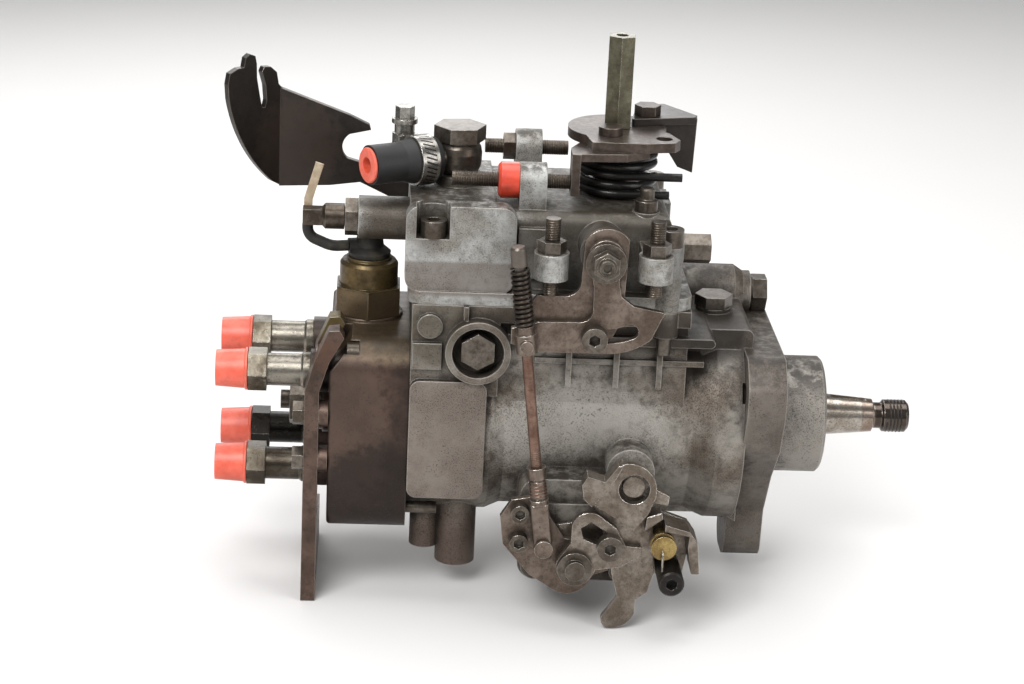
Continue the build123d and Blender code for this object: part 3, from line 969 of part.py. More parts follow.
# ---------------------------------------------------------------- brackets
with BuildPart() as rear_bracket:
    plane = Plane.YZ.offset(SUPPORT_X[0])
    slab([(SUPPORT_NEAR_Y, -45), (-31.8, -45), (-31.8, 19.4), (SUPPORT_NEAR_Y, 19.4)], plane,
         SUPPORT_X[1] - SUPPORT_X[0])
    slab([(SUPPORT_NEAR_Y, SUPPORT_LOW_Z), (SUPPORT_FAR_Y, SUPPORT_LOW_Z), (SUPPORT_FAR_Y, -56),
          (-10, -46), (-31.8, -36), (SUPPORT_NEAR_Y, -36)], plane, SUPPORT_X[1] - SUPPORT_X[0])
    # leaning fork: the strip widens above the outlet and splits into two prongs
    with BuildSketch(near(SUPPORT_NEAR_Y + 26)) as lean:
        with BuildLine():
            Polyline((SUPPORT_X[0], 19), (SUPPORT_X[1], 19), (HEAD_REAR_X - 0.3, 31.5),
                     (HEAD_REAR_X + 5.8, 42.6), (HEAD_REAR_X + 3.8, 46), (HEAD_REAR_X - 0.6, 45.5),
                     (HEAD_REAR_X - 6, 33), close=True)
        make_face()
    extrude(lean.sketch, amount=26)
    block((SUPPORT_X[0] - 2, HEAD_REAR_X + 10), (-31.8, SUPPORT_NEAR_Y + 27), (18, 31.6), mode=Mode.SUBTRACT)
    block((SUPPORT_X[0] - 2, HEAD_REAR_X + 10), (-34, -24), (33.6, 50), mode=Mode.SUBTRACT)
    for y, z in SUPPORT_BOLT_AT:
        bar(5.6, (SUPPORT_X[1], y, z), (1, 0, 0), HEAD_REAR_X - SUPPORT_X[1] - 0.1)
        bar(3 + SLIP, (SUPPORT_X[0] - 1, y, z), (1, 0, 0), 12, mode=Mode.SUBTRACT)
    for y in (-SUPPORT_HOLE_PITCH / 2, SUPPORT_HOLE_PITCH / 2):
        bar(SUPPORT_HOLE_R, (SUPPORT_X[0] - 1, y - 6, -65.5), (1, 0, 0), 10, mode=Mode.SUBTRACT)
rear_bracket.part.label = "rear_bracket"
export_step(rear_bracket.part, "parts/rear_bracket.step")

with BuildPart() as fin_bracket:
    # flat fin with its hooked tip, and the leg that runs along the cover's far wall
    with BuildSketch(near(FIN_Y)) as fin:
        with BuildLine():
            Polyline((-213, 125.2), (-183.1, 114.2), (-174.6, 110.2), (-173.9, 107.9), (-182.9, 105.8))
            ThreePointArc((-182.9, 105.8), (-186, 100.6), (-183.9, 95.1))
            Polyline((-183.9, 95.1), (-178, 93.4), (-157, 93), (-118, 93), (-116, 91), (-116, 71),
                     (-118, 69), (-154, 69), (-160, 76), (-178, 84.5), (-191, 82.7), (-213, 81.7),
                     (-213, 125.2))
        make_face()
    extrude(fin.sketch, amount=-FIN_T)
    # forked tongue, bent towards the lever side along the fin's rear edge
    tongue = Plane(origin=(-213, FIN_Y, 0), x_dir=(-0.81, -0.586, 0), z_dir=(-0.586, 0.81, 0))
    with BuildSketch(tongue) as fork:
        with BuildLine():
            Polyline((-1, 125), (0.9, 127), (2, 132.3), (5, 134.9), (8.4, 135.2), (9.5, 133.2), (7.6, 127.2),
                     (6.9, 120.6), (7.8, 117.3), (9.3, 117.8), (10.5, 123.2), (12, 130.8), (12.2, 137),
                     (13, 140.4), (15.6, 141.5), (17.8, 140), (18.6, 136), (21.7, 135.8), (25.6, 134),
                     (26.5, 129.4), (26, 122.9))
            ThreePointArc((26, 122.9), (17.6, 101), (3.6, 84.3))
            Polyline((3.6, 84.3), (-1, 81.8), (-1, 125))
        make_face()
    extrude(fork.sketch, amount=FIN_T)
    for x in FIN_BOLT_X:
        bar(3 + SLIP, (x, 40, FIN_BOLT_Z), (0, 1, 0), 12, mode=Mode.SUBTRACT)
fin_bracket.part.label = "fin_bracket"
export_step(fin_bracket.part, "parts/fin_bracket.step")

with BuildPart() as bracket_bolts:
    for y, z in SUPPORT_BOLT_AT:
        bar(3, (HEAD_REAR_X + 10, y, z), (-1, 0, 0), 22)
        hexagon(9, (SUPPORT_X[0] - 0.1, y, z), (-1, 0, 0), 4.6)
    for x in FIN_BOLT_X:
        bar(3, (x, 35, FIN_BOLT_Z), (0, 1, 0), 14)
        hexagon(10, (x, FIN_Y + FIN_T + 0.1, FIN_BOLT_Z), (0, 1, 0), 5)
bracket_bolts.part.label = "bracket_bolts"
export_step(bracket_bolts.part, "parts/bracket_bolts.step")

# ---------------------------------------------------------------- unions, plugs and pivot bolts
with BuildPart() as inlet_union:
    bar(5, (-7, INLET[0], INLET[1]), (-1, 0, 0), 18)
    bar(7.1, (-7.7, INLET[0], INLET[1]), (1, 0, 0), 1.2)
    hexagon(14.2, (-6.6, INLET[0], INLET[1]), (1, 0, 0), 6.2, turned=30)
inlet_union.part.label = "inlet_union"
export_step(inlet_union.part, "parts/inlet_union.step")

with BuildPart() as hex_plugs:
    # central plug of the distributor head
    bar(8, (HEAD_REAR_X + 7, 0, 0), (-1, 0, 0), 12)
    bar(12.5, (HEAD_REAR_X - 3.1, 0, 0), (-1, 0, 0), 3)
    hexagon(19, (HEAD_REAR_X - 5, 0, 0), (-1, 0, 0), 12)
    bar(4, (HEAD_REAR_X - 15, 0, 0), (-1, 0, 0), 6)
    # pressure valve in the deck behind the flange
    bar(5, (-26.5, 0, 50), (0, 0, -1), 16)
    hexagon(14, (-26.5, 0, 48.1), (0, 0, 1), 5)
    # plug in the cover's front end
    hexagon(11, (BODY_FRONT_X + 6.6, -20, 79), (1, 0, 0), 11.5)
hex_plugs.part.label = "hex_plugs"
export_step(hex_plugs.part, "parts/hex_plugs.step")

with BuildPart() as pivot_bolts:
    for side in (-1, 1):
        bar(PIVOT_SHANK_R, (PIVOT_X, side * 43, PIVOT_Z), (0, -side, 0), 19)
        bar(3, (PIVOT_X, side * 26, PIVOT_Z), (0, -side, 0), 8)
        hexagon(13.4, (PIVOT_X, side * 42.1, PIVOT_Z), (0, side, 0), 6.4)
pivot_bolts.part.label = "pivot_bolts"
export_step(pivot_bolts.part, "parts/pivot_bolts.step")

# ---------------------------------------------------------------- drive shaft and vane pump
YOKE_R = 15.0
ROTOR_R = 22.0
RING_OFFSET = 2.0
VANE_COUNT = 4
SLOT_FOOT_R = SHAFT_R + 2
VANE_T = 2.6

with BuildPart() as drive_shaft:
    turn([(0, CAM_FACE_X + 1), (8, CAM_FACE_X + 1), (8, RING_X[0] + 6), (YOKE_R - 1, RING_X[0] + 6),
          (YOKE_R - 1, RING_X[1] + 8), (SHAFT_R, RING_X[1] + 9), (SHAFT_R, SPIGOT_LEN + 0.6),
          (TAPER_BIG_R, SPIGOT_LEN + 1.2), (TAPER_SMALL_R, TAPER_END_X), (5.6, TAPER_END_X + 0.6),
          (5.6, TAPER_END_X + 4), (THREAD_R, TAPER_END_X + 5), (THREAD_R, SHAFT_END_X - 1.2),
          (THREAD_R - 1.2, SHAFT_END_X), (0, SHAFT_END_X)], (0, 0, 0), (1, 0, 0))
    # keyway in the taper
    block((SPIGOT_LEN + 5, TAPER_END_X - 3), (-2, 2), (6.4, 10), mode=Mode.SUBTRACT)
drive_shaft.part.label = "drive_shaft"
export_step(drive_shaft.part, "parts/drive_shaft.step")

with BuildPart() as cam_ring:
    bar(PUMP_BORE_R - SLIP, (VANE_PUMP_X[0], 0, 0), (1, 0, 0), VANE_PUMP_X[1] - VANE_PUMP_X[0] - SLIP)
    bar(ROTOR_R + RING_OFFSET + 1, (VANE_PUMP_X[0] - 1, 0, RING_OFFSET), (1, 0, 0), 25, mode=Mode.SUBTRACT)
cam_ring.part.label = "cam_ring"
export_step(cam_ring.part, "parts/cam_ring.step")

with BuildPart() as pump_rotor:
    bar(ROTOR_R, (VANE_PUMP_X[0], 0, 0), (1, 0, 0), VANE_PUMP_X[1] - VANE_PUMP_X[0] - 1)
    bar(SHAFT_R + SLIP, (VANE_PUMP_X[0] - 1, 0, 0), (1, 0, 0), 25, mode=Mode.SUBTRACT)
    with BuildSketch(Plane.YZ.offset(VANE_PUMP_X[0] - 1)) as slots:
        with PolarLocations((SLOT_FOOT_R + ROTOR_R + 2) / 2, VANE_COUNT, start_angle=45):
            Rectangle(ROTOR_R + 2 - SLOT_FOOT_R, VANE_T + 2 * SLIP)
    extrude(slots.sketch, amount=25, mode=Mode.SUBTRACT)
    # vanes, kept just inside the rotor's rim
    with BuildSketch(Plane.YZ.offset(VANE_PUMP_X[0])) as vanes:
        with PolarLocations((SLOT_FOOT_R + ROTOR_R + 1) / 2, VANE_COUNT, start_angle=45):
            Rectangle(ROTOR_R - 2 - SLOT_FOOT_R, VANE_T)
    extrude(vanes.sketch, amount=VANE_PUMP_X[1] - VANE_PUMP_X[0] - 1)
pump_rotor.part.label = "pump_rotor"
export_step(pump_rotor.part, "parts/pump_rotor.step")


# ---------------------------------------------------------------- gear pair and governor
def gear(teeth, mid, x, first_tooth):
    """A spur gear blank with trapezoidal teeth, turned so that one tooth points at first_tooth."""
    pitch_r = GEAR_MODULE * teeth / 2
    root_r = pitch_r - 1.25 * GEAR_MODULE
    tip_r = pitch_r + 0.8 * GEAR_MODULE
    step = 360 / teeth
    corners = []
    for number in range(teeth):
        middle = first_tooth + number * step
        for radius, share in ((root_r, -0.34), (pitch_r, -0.215), (tip_r, -0.1),
                              (tip_r, 0.1), (pitch_r, 0.215), (root_r, 0.34)):
            angle = radians(middle + share * step)
            corners.append((mid[0] + radius * cos(angle), mid[1] + radius * sin(angle)))
    slab(corners, Plane.YZ.offset(x[0]), x[1] - x[0])


with BuildPart() as drive_gear:
    gear(DRIVE_TEETH, (0, 0), GEAR_X, 90)
    bar(SHAFT_R + SLIP, (GEAR_X[0] - 1, 0, 0), (1, 0, 0), 20, mode=Mode.SUBTRACT)
drive_gear.part.label = "drive_gear"
export_step(drive_gear.part, "parts/drive_gear.step")

with BuildPart() as governor_shaft:
    bar(GOVERNOR_SHAFT_R, (GOVERNOR_SHAFT_X[0], 0, GOVERNOR_Z), (1, 0, 0),
        GOVERNOR_SHAFT_X[1] - GOVERNOR_SHAFT_X[0])
governor_shaft.part.label = "governor_shaft"
export_step(governor_shaft.part, "parts/governor_shaft.step")

CAGE_X = (GEAR_X[0] - 30, GEAR_X[0])
CAGE_T = 2.0
WEIGHT_COUNT = 4
WEIGHT_W = 8.0
GAP_TOOTH = -90 + 180 / CAGE_TEETH
with BuildPart() as governor_cage:
    gear(CAGE_TEETH, (0, GOVERNOR_Z), GEAR_X, GAP_TOOTH)
    mid = (0, 0, GOVERNOR_Z)
    turn([(GOVERNOR_SHAFT_R + SLIP, GEAR_X[0] + 1), (CAGE_R, GEAR_X[0] + 1), (CAGE_R, CAGE_X[0]),
          (CAGE_R - CAGE_T, CAGE_X[0]), (CAGE_R - CAGE_T, GEAR_X[0] - 2.5),
          (GOVERNOR_SHAFT_R + SLIP, GEAR_X[0] - 2.5)], mid, (1, 0, 0))
    bar(GOVERNOR_SHAFT_R + SLIP, (GEAR_X[0] - 4, 0, GOVERNOR_Z), (1, 0, 0), 20, mode=Mode.SUBTRACT)
    with BuildSketch(Plane.YZ.offset(CAGE_X[0] - 1)) as windows:
        with Locations((0, GOVERNOR_Z)):
            with PolarLocations(CAGE_R, WEIGHT_COUNT):
                Rectangle(8, WEIGHT_W + 2 * FACE_GAP)
    extrude(windows.sketch, amount=26, mode=Mode.SUBTRACT)
    # flyweights in the windows, and the sleeve they push along the shaft
    with BuildSketch(Plane.YZ.offset(CAGE_X[0] + 3)) as weights:
        with Locations((0, GOVERNOR_Z)):
            with PolarLocations((CAGE_R + 7) / 2, WEIGHT_COUNT):
                Trapezoid(WEIGHT_W, CAGE_R - 10.8, 75, rotation=90)
    extrude(weights.sketch, amount=21.6)
    turn([(GOVERNOR_SHAFT_R + SLIP, CAGE_X[0] + 6), (7.4, CAGE_X[0] + 6), (7.4, -112),
          (5.4, SLEEVE_END_X + 1), (3, SLEEVE_END_X), (0, SLEEVE_END_X), (0, SLEEVE_END_X + 3),
          (GOVERNOR_SHAFT_R + SLIP, SLEEVE_END_X + 5)],
         mid, (1, 0, 0))
governor_cage.part.label = "governor_cage"
export_step(governor_cage.part, "parts/governor_cage.step")

COLLAR_R = 14.0
COLLAR_MID_X = (COLLAR_X[0] + COLLAR_X[1]) / 2
with BuildPart() as governor_lever:
    # plate that hangs from its pivot down to the ball in the collar's groove
    slab([(-9, 20), (-4, 15.6), (4, 15.6), (9, 20), (9, 46), (12, 52), (12, 78), (-12, 78), (-12, 52),
          (-9, 46)],
         Plane.YZ.offset(SLEEVE_END_X - 4.5), 3.5)
    for side in (-1, 1):
        block((PIVOT_X - 5, SLEEVE_END_X - 1), (side * 9, side * 16), (PIVOT_Z - 5, PIVOT_Z + 5))
    bar(3 + SLIP, (PIVOT_X, -20, PIVOT_Z), (0, 1, 0), 40, mode=Mode.SUBTRACT)
    turn([(0, COLLAR_R - 4.4), (2, COLLAR_R - 4), (2, 19), (0, 19)], (COLLAR_MID_X, 0, 0), (0, 0, 1))
    block((COLLAR_MID_X - 2, SLEEVE_END_X - 1), (-3, 3), (15.5, 19))
governor_lever.part.label = "governor_lever"
export_step(governor_lever.part, "parts/governor_lever.step")

with BuildPart() as control_collar:
    turn([(PLUNGER_R + SLIP, COLLAR_X[0]), (COLLAR_R, COLLAR_X[0]), (COLLAR_R, COLLAR_MID_X - 3.4),
          (COLLAR_R - 5, COLLAR_MID_X - 3.4), (COLLAR_R - 5, COLLAR_MID_X + 3.4),
          (COLLAR_R, COLLAR_MID_X + 3.4), (COLLAR_R, COLLAR_X[1]), (PLUNGER_R + SLIP, COLLAR_X[1])],
         (0, 0, 0), (1, 0, 0))
control_collar.part.label = "control_collar"
export_step(control_collar.part, "parts/control_collar.step")

# ---------------------------------------------------------------- roller ring, cam plate, plunger
ROLLER_AT_R = 23.0
RING_INNER_R = 16.5
PIN_R = 3.0
with BuildPart() as roller_ring:
    turn([(RING_INNER_R, RING_X[0]), (RING_R, RING_X[0]), (RING_R, RING_X[1]), (RING_INNER_R, RING_X[1])],
         (0, 0, 0), (1, 0, 0))
    bar(PIN_R, (TIMING_X, 0, -RING_R + 3), (0, 0, -1), -PISTON_Z - RING_R + 5)
    for number in range(ROLLER_COUNT):
        angle = radians(45 + number * 360 / ROLLER_COUNT)
        outward = (0, cos(angle), sin(angle))
        start = (RING_X[0], outward[1] * 14, outward[2] * 14)
        bar(ROLLER_R + 0.2, start, outward, 30, mode=Mode.SUBTRACT)
    for number in range(ROLLER_COUNT):
        angle = radians(45 + number * 360 / ROLLER_COUNT)
        outward = (0, cos(angle), sin(angle))
        start = (RING_X[0], outward[1] * 17.5, outward[2] * 17.5)
        bar(ROLLER_R, start, outward, RING_R - 18.5)
roller_ring.part.label = "roller_ring"
export_step(roller_ring.part, "parts/roller_ring.step")

CAM_PLATE_T = 9.0
with BuildPart() as cam_plate:
    bar(RING_R - 0.5, (CAM_FACE_X - CAM_PLATE_T, 0, 0), (1, 0, 0), CAM_PLATE_T - 2)
    with BuildSketch(Plane.YZ.offset(CAM_FACE_X - 2.5)) as lobes:
        with PolarLocations(ROLLER_AT_R, ROLLER_COUNT, start_angle=45):
            Trapezoid(14, 9, 70, rotation=90)
    extrude(lobes.sketch, amount=2.5)
    bar(RING_INNER_R - 2, (CAM_FACE_X - 2.5, 0, 0), (1, 0, 0), 2.5)
    bar(8 + SLIP, (CAM_FACE_X - 0.5, 0, 0), (1, 0, 0), 4, mode=Mode.SUBTRACT)
cam_plate.part.label = "cam_plate"
export_step(cam_plate.part, "parts/cam_plate.step")

with BuildPart() as plunger:
    bar(PLUNGER_R, (HEAD_REAR_X + 10, 0, 0), (1, 0, 0), CAM_FACE_X - CAM_PLATE_T - HEAD_REAR_X - 10.1)
    bar(9, (CAM_FACE_X - CAM_PLATE_T - 4.1, 0, 0), (1, 0, 0), 4)
plunger.part.label = "plunger"
export_step(plunger.part, "parts/plunger.step")

with BuildPart() as timing_piston:
    bar(PISTON_R, (TIMING_X, -30, PISTON_Z), (0, 1, 0), 58)
    block((TIMING_X - 3.6, TIMING_X + 3.6), (-5, 5), (PISTON_Z - 6, PISTON_Z + 12), mode=Mode.SUBTRACT)
timing_piston.part.label = "timing_piston"
export_step(timing_piston.part, "parts/timing_piston.step")
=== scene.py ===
"""Looks of a rotary diesel injection pump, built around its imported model.

Everything is in metres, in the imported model's frame: the origin is the centre of
the flange's mounting face, +X runs out along the drive shaft, +Z points up to the
governor cover and -Y to the side with the idle and cold-start levers.
"""
from __future__ import annotations

import json
import logging
import math
from dataclasses import dataclass
from enum import Enum
from typing import Iterable, Sequence

import bmesh
import bpy
from mathutils import Matrix, Vector

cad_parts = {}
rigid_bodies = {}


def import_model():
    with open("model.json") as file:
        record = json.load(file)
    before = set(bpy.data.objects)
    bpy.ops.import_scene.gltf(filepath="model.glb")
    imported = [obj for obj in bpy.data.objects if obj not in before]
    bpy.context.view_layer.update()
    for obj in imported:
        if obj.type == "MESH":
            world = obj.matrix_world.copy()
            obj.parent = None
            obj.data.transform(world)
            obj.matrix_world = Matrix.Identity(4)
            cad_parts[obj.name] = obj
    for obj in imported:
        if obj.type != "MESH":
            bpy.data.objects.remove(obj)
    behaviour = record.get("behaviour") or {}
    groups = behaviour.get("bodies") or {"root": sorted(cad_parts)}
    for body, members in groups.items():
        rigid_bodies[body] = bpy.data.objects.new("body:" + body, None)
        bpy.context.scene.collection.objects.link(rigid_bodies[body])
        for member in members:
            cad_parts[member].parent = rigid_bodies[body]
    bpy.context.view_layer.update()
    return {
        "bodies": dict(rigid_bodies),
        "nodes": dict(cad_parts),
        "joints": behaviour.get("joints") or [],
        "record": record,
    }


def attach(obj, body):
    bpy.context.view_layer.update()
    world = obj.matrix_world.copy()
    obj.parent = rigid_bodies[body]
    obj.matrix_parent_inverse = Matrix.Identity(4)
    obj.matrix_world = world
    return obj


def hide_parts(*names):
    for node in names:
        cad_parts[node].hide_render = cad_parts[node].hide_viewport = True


LOG = logging.getLogger("injection_pump")
MM = 0.001
CREASE = math.radians(38)       # a sharper edge than this isn't shaded smooth
THREAD_STEPS = 20               # sections in one turn of a thread
MIX_SHARE, MIX_FIRST, MIX_SECOND, MIX_RESULT = 0, 6, 7, 2    # colour sockets of a Mix node
SHADER_SAMPLES = 4              # rays of the corner and edge finders

Colour = tuple[float, float, float, float]
Point = tuple[float, float, float]


def tone(code: str) -> Colour:
    """Turn a display colour into the linear colour that shaders take.

    Args:
        code: six hexadecimal digits, red first.

    Returns:
        The linear colour with full alpha.
    """
    channels = (int(code[start:start + 2], 16) / 255 for start in (0, 2, 4))
    linear = tuple(c / 12.92 if c <= 0.04045 else ((c + 0.055) / 1.055) ** 2.4 for c in channels)
    return (linear[0], linear[1], linear[2], 1.0)


def mm(*values: float) -> Vector:
    """A point or a direction given in millimetres, as a vector in metres."""
    return Vector(values) * MM


class Region(Enum):
    """Shape of the zone that a local tint covers."""

    BALL = "ball"
    BOX = "box"


@dataclass(frozen=True)
class LocalTint:
    """A local change of colour: a real stain such as soot, rust or a turned face, and in a few places
    painted highlight and painted shade.

    The centre and the reach along each axis are in millimetres.
    """

    colour: str
    centre: Point
    reach: Point
    strength: float = 0.8
    softness: float = 0.45
    region: Region = Region.BALL
    ragged: float = 0.5


class Graph:
    """A material's node tree, with short ways to add to it."""

    def __init__(self, name: str) -> None:
        """Start an empty material.

        Args:
            name: the material's name.
        """
        self.material = bpy.data.materials.new(name)
        self.material.use_nodes = True
        self.tree = self.material.node_tree
        self.tree.nodes.clear()
        self.place = self.node("ShaderNodeTexCoord").outputs["Object"]

    def node(self, kind: str, **settings: object) -> bpy.types.Node:
        """Add a node.

        Args:
            kind: the node's type name.
            **settings: attributes to set on it.

        Returns:
            The new node.
        """
        made = self.tree.nodes.new(kind)
        for key, value in settings.items():
            setattr(made, key, value)
        return made

    def feed(self, socket: bpy.types.NodeSocket, value: object) -> None:
        """Link a socket to another, or set its constant.

        Args:
            socket: the input to fill.
            value: an output socket, or the constant.
        """
        if isinstance(value, bpy.types.NodeSocket):
            self.tree.links.new(value, socket)
        else:
            socket.default_value = value

    def calc(self, operation: str, first: object, second: object,
             clamp: bool = False) -> bpy.types.NodeSocket:
        """Do arithmetic on two values.

        Args:
            operation: the Math node's operation.
            first: a socket or a number.
            second: a socket or a number.
            clamp: keep the result between 0 and 1.

        Returns:
            The result.
        """
        made = self.node("ShaderNodeMath", operation=operation, use_clamp=clamp)
        self.feed(made.inputs[0], first)
        self.feed(made.inputs[1], second)
        return made.outputs[0]

    def noise(self, scale: float, detail: float, rough: float) -> bpy.types.NodeSocket:
        """Add a noise pattern on the piece's own coordinates.

        Args:
            scale: repeats per metre.
            detail: number of octaves.
            rough: share that each finer octave keeps.

        Returns:
            The noise value, about 0.5 on average.
        """
        made = self.node("ShaderNodeTexNoise")
        self.feed(made.inputs["Vector"], self.place)
        made.inputs["Scale"].default_value = scale
        made.inputs["Detail"].default_value = detail
        made.inputs["Roughness"].default_value = rough
        return made.outputs[0]

    def step(self, value: bpy.types.NodeSocket, low: float, high: float,
             top: float = 1.0) -> bpy.types.NodeSocket:
        """Turn a value into a soft mask.

        Args:
            value: the value to grade.
            low: where the mask starts.
            high: where it is full.
            top: its full strength.

        Returns:
            The mask, from 0 to top.
        """
        made = self.node("ShaderNodeMapRange", interpolation_type="SMOOTHSTEP")
        self.feed(made.inputs["Value"], value)
        made.inputs["From Min"].default_value = low
        made.inputs["From Max"].default_value = high
        made.inputs["To Max"].default_value = top
        return made.outputs[0]

    def mix(self, share: object, first: object, second: object) -> bpy.types.NodeSocket:
        """Blend two colours.

        Args:
            share: how much of the second colour shows.
            first: a colour or a socket.
            second: a colour or a socket.

        Returns:
            The blended colour.
        """
        made = self.node("ShaderNodeMix", data_type="RGBA")
        self.feed(made.inputs[MIX_SHARE], share)
        self.feed(made.inputs[MIX_FIRST], first)
        self.feed(made.inputs[MIX_SECOND], second)
        return made.outputs[MIX_RESULT]

    def zone(self, tint: LocalTint, ragged: bpy.types.NodeSocket) -> bpy.types.NodeSocket:
        """Mask the region of a local tint, with a ragged border.

        Args:
            tint: the tint to place.
            ragged: a noise value that breaks up the border.

        Returns:
            The mask, from 0 to the stain's strength.
        """
        shifted = self.node("ShaderNodeVectorMath", operation="SUBTRACT")
        self.feed(shifted.inputs[0], self.place)
        shifted.inputs[1].default_value = mm(*tint.centre)
        scaled = self.node("ShaderNodeVectorMath", operation="DIVIDE")
        self.feed(scaled.inputs[0], shifted.outputs[0])
        scaled.inputs[1].default_value = mm(*tint.reach)
        if tint.region is Region.BALL:
            length = self.node("ShaderNodeVectorMath", operation="LENGTH")
            self.feed(length.inputs[0], scaled.outputs[0])
            away = length.outputs["Value"]
        else:
            size = self.node("ShaderNodeVectorMath", operation="ABSOLUTE")
            self.feed(size.inputs[0], scaled.outputs[0])
            parts = self.node("ShaderNodeSeparateXYZ")
            self.feed(parts.inputs[0], size.outputs[0])
            away = self.calc("MAXIMUM", self.calc("MAXIMUM", parts.outputs[0], parts.outputs[1]),
                             parts.outputs[2])
        shake = self.calc("MULTIPLY", self.calc("SUBTRACT", ragged, 0.5), tint.ragged * 2)
        broken = self.calc("ADD", away, shake)
        inverse = self.calc("SUBTRACT", 1.0, broken)
        return self.step(inverse, -tint.softness / 2, tint.softness / 2, tint.strength)

    def crevices(self, distance: float) -> bpy.types.NodeSocket:
        """Find corners and recesses.

        Args:
            distance: how far neighbouring walls count, in millimetres.

        Returns:
            1 deep in a corner, 0 in the open.
        """
        made = self.node("ShaderNodeAmbientOcclusion", samples=SHADER_SAMPLES)
        made.inputs["Distance"].default_value = distance * MM
        return self.calc("SUBTRACT", 1.0, made.outputs["AO"])

    def upward(self) -> bpy.types.NodeSocket:
        """1 on faces that look up, where dirt settles, and 0 on the rest."""
        true = self.node("ShaderNodeNewGeometry")
        parts = self.node("ShaderNodeSeparateXYZ")
        self.feed(parts.inputs[0], true.outputs["Normal"])
        return self.step(parts.outputs[2], 0.5, 0.9)

    def rounded(self, radius: float) -> tuple[bpy.types.NodeSocket, bpy.types.NodeSocket]:
        """Soften edges in the shading and find them.

        Args:
            radius: the apparent radius of an edge, in millimetres.

        Returns:
            The softened normal, and a mask of the edges.
        """
        bevel = self.node("ShaderNodeBevel", samples=SHADER_SAMPLES)
        bevel.inputs["Radius"].default_value = radius * MM
        true = self.node("ShaderNodeNewGeometry")
        likeness = self.node("ShaderNodeVectorMath", operation="DOT_PRODUCT")
        self.feed(likeness.inputs[0], bevel.outputs[0])
        self.feed(likeness.inputs[1], true.outputs["Normal"])
        edge = self.calc("SUBTRACT", 1.0, likeness.outputs["Value"])
        return bevel.outputs[0], edge

    def bump(self, height: object, depth: float, strength: float,
             normal: bpy.types.NodeSocket) -> bpy.types.NodeSocket:
        """Raise a relief in the shading.

        Args:
            height: the relief, from 0 to 1.
            depth: its height in millimetres.
            strength: how strongly it shows.
            normal: the normal that it is laid on.

        Returns:
            The new normal.
        """
        made = self.node("ShaderNodeBump")
        made.inputs["Strength"].default_value = strength
        made.inputs["Distance"].default_value = depth * MM
        self.feed(made.inputs["Height"], height)
        self.feed(made.inputs["Normal"], normal)
        return made.outputs[0]

    def finish(self, **inputs: object) -> bpy.types.Material:
        """Close the material with one principled shader.

        Args:
            **inputs: the shader's inputs, with underscores for spaces.

        Returns:
            The material.
        """
        shader = self.node("ShaderNodeBsdfPrincipled")
        for key, value in inputs.items():
            self.feed(shader.inputs[key.replace("_", " ")], value)
        output = self.node("ShaderNodeOutputMaterial")
        self.feed(output.inputs["Surface"], shader.outputs[0])
        return self.material


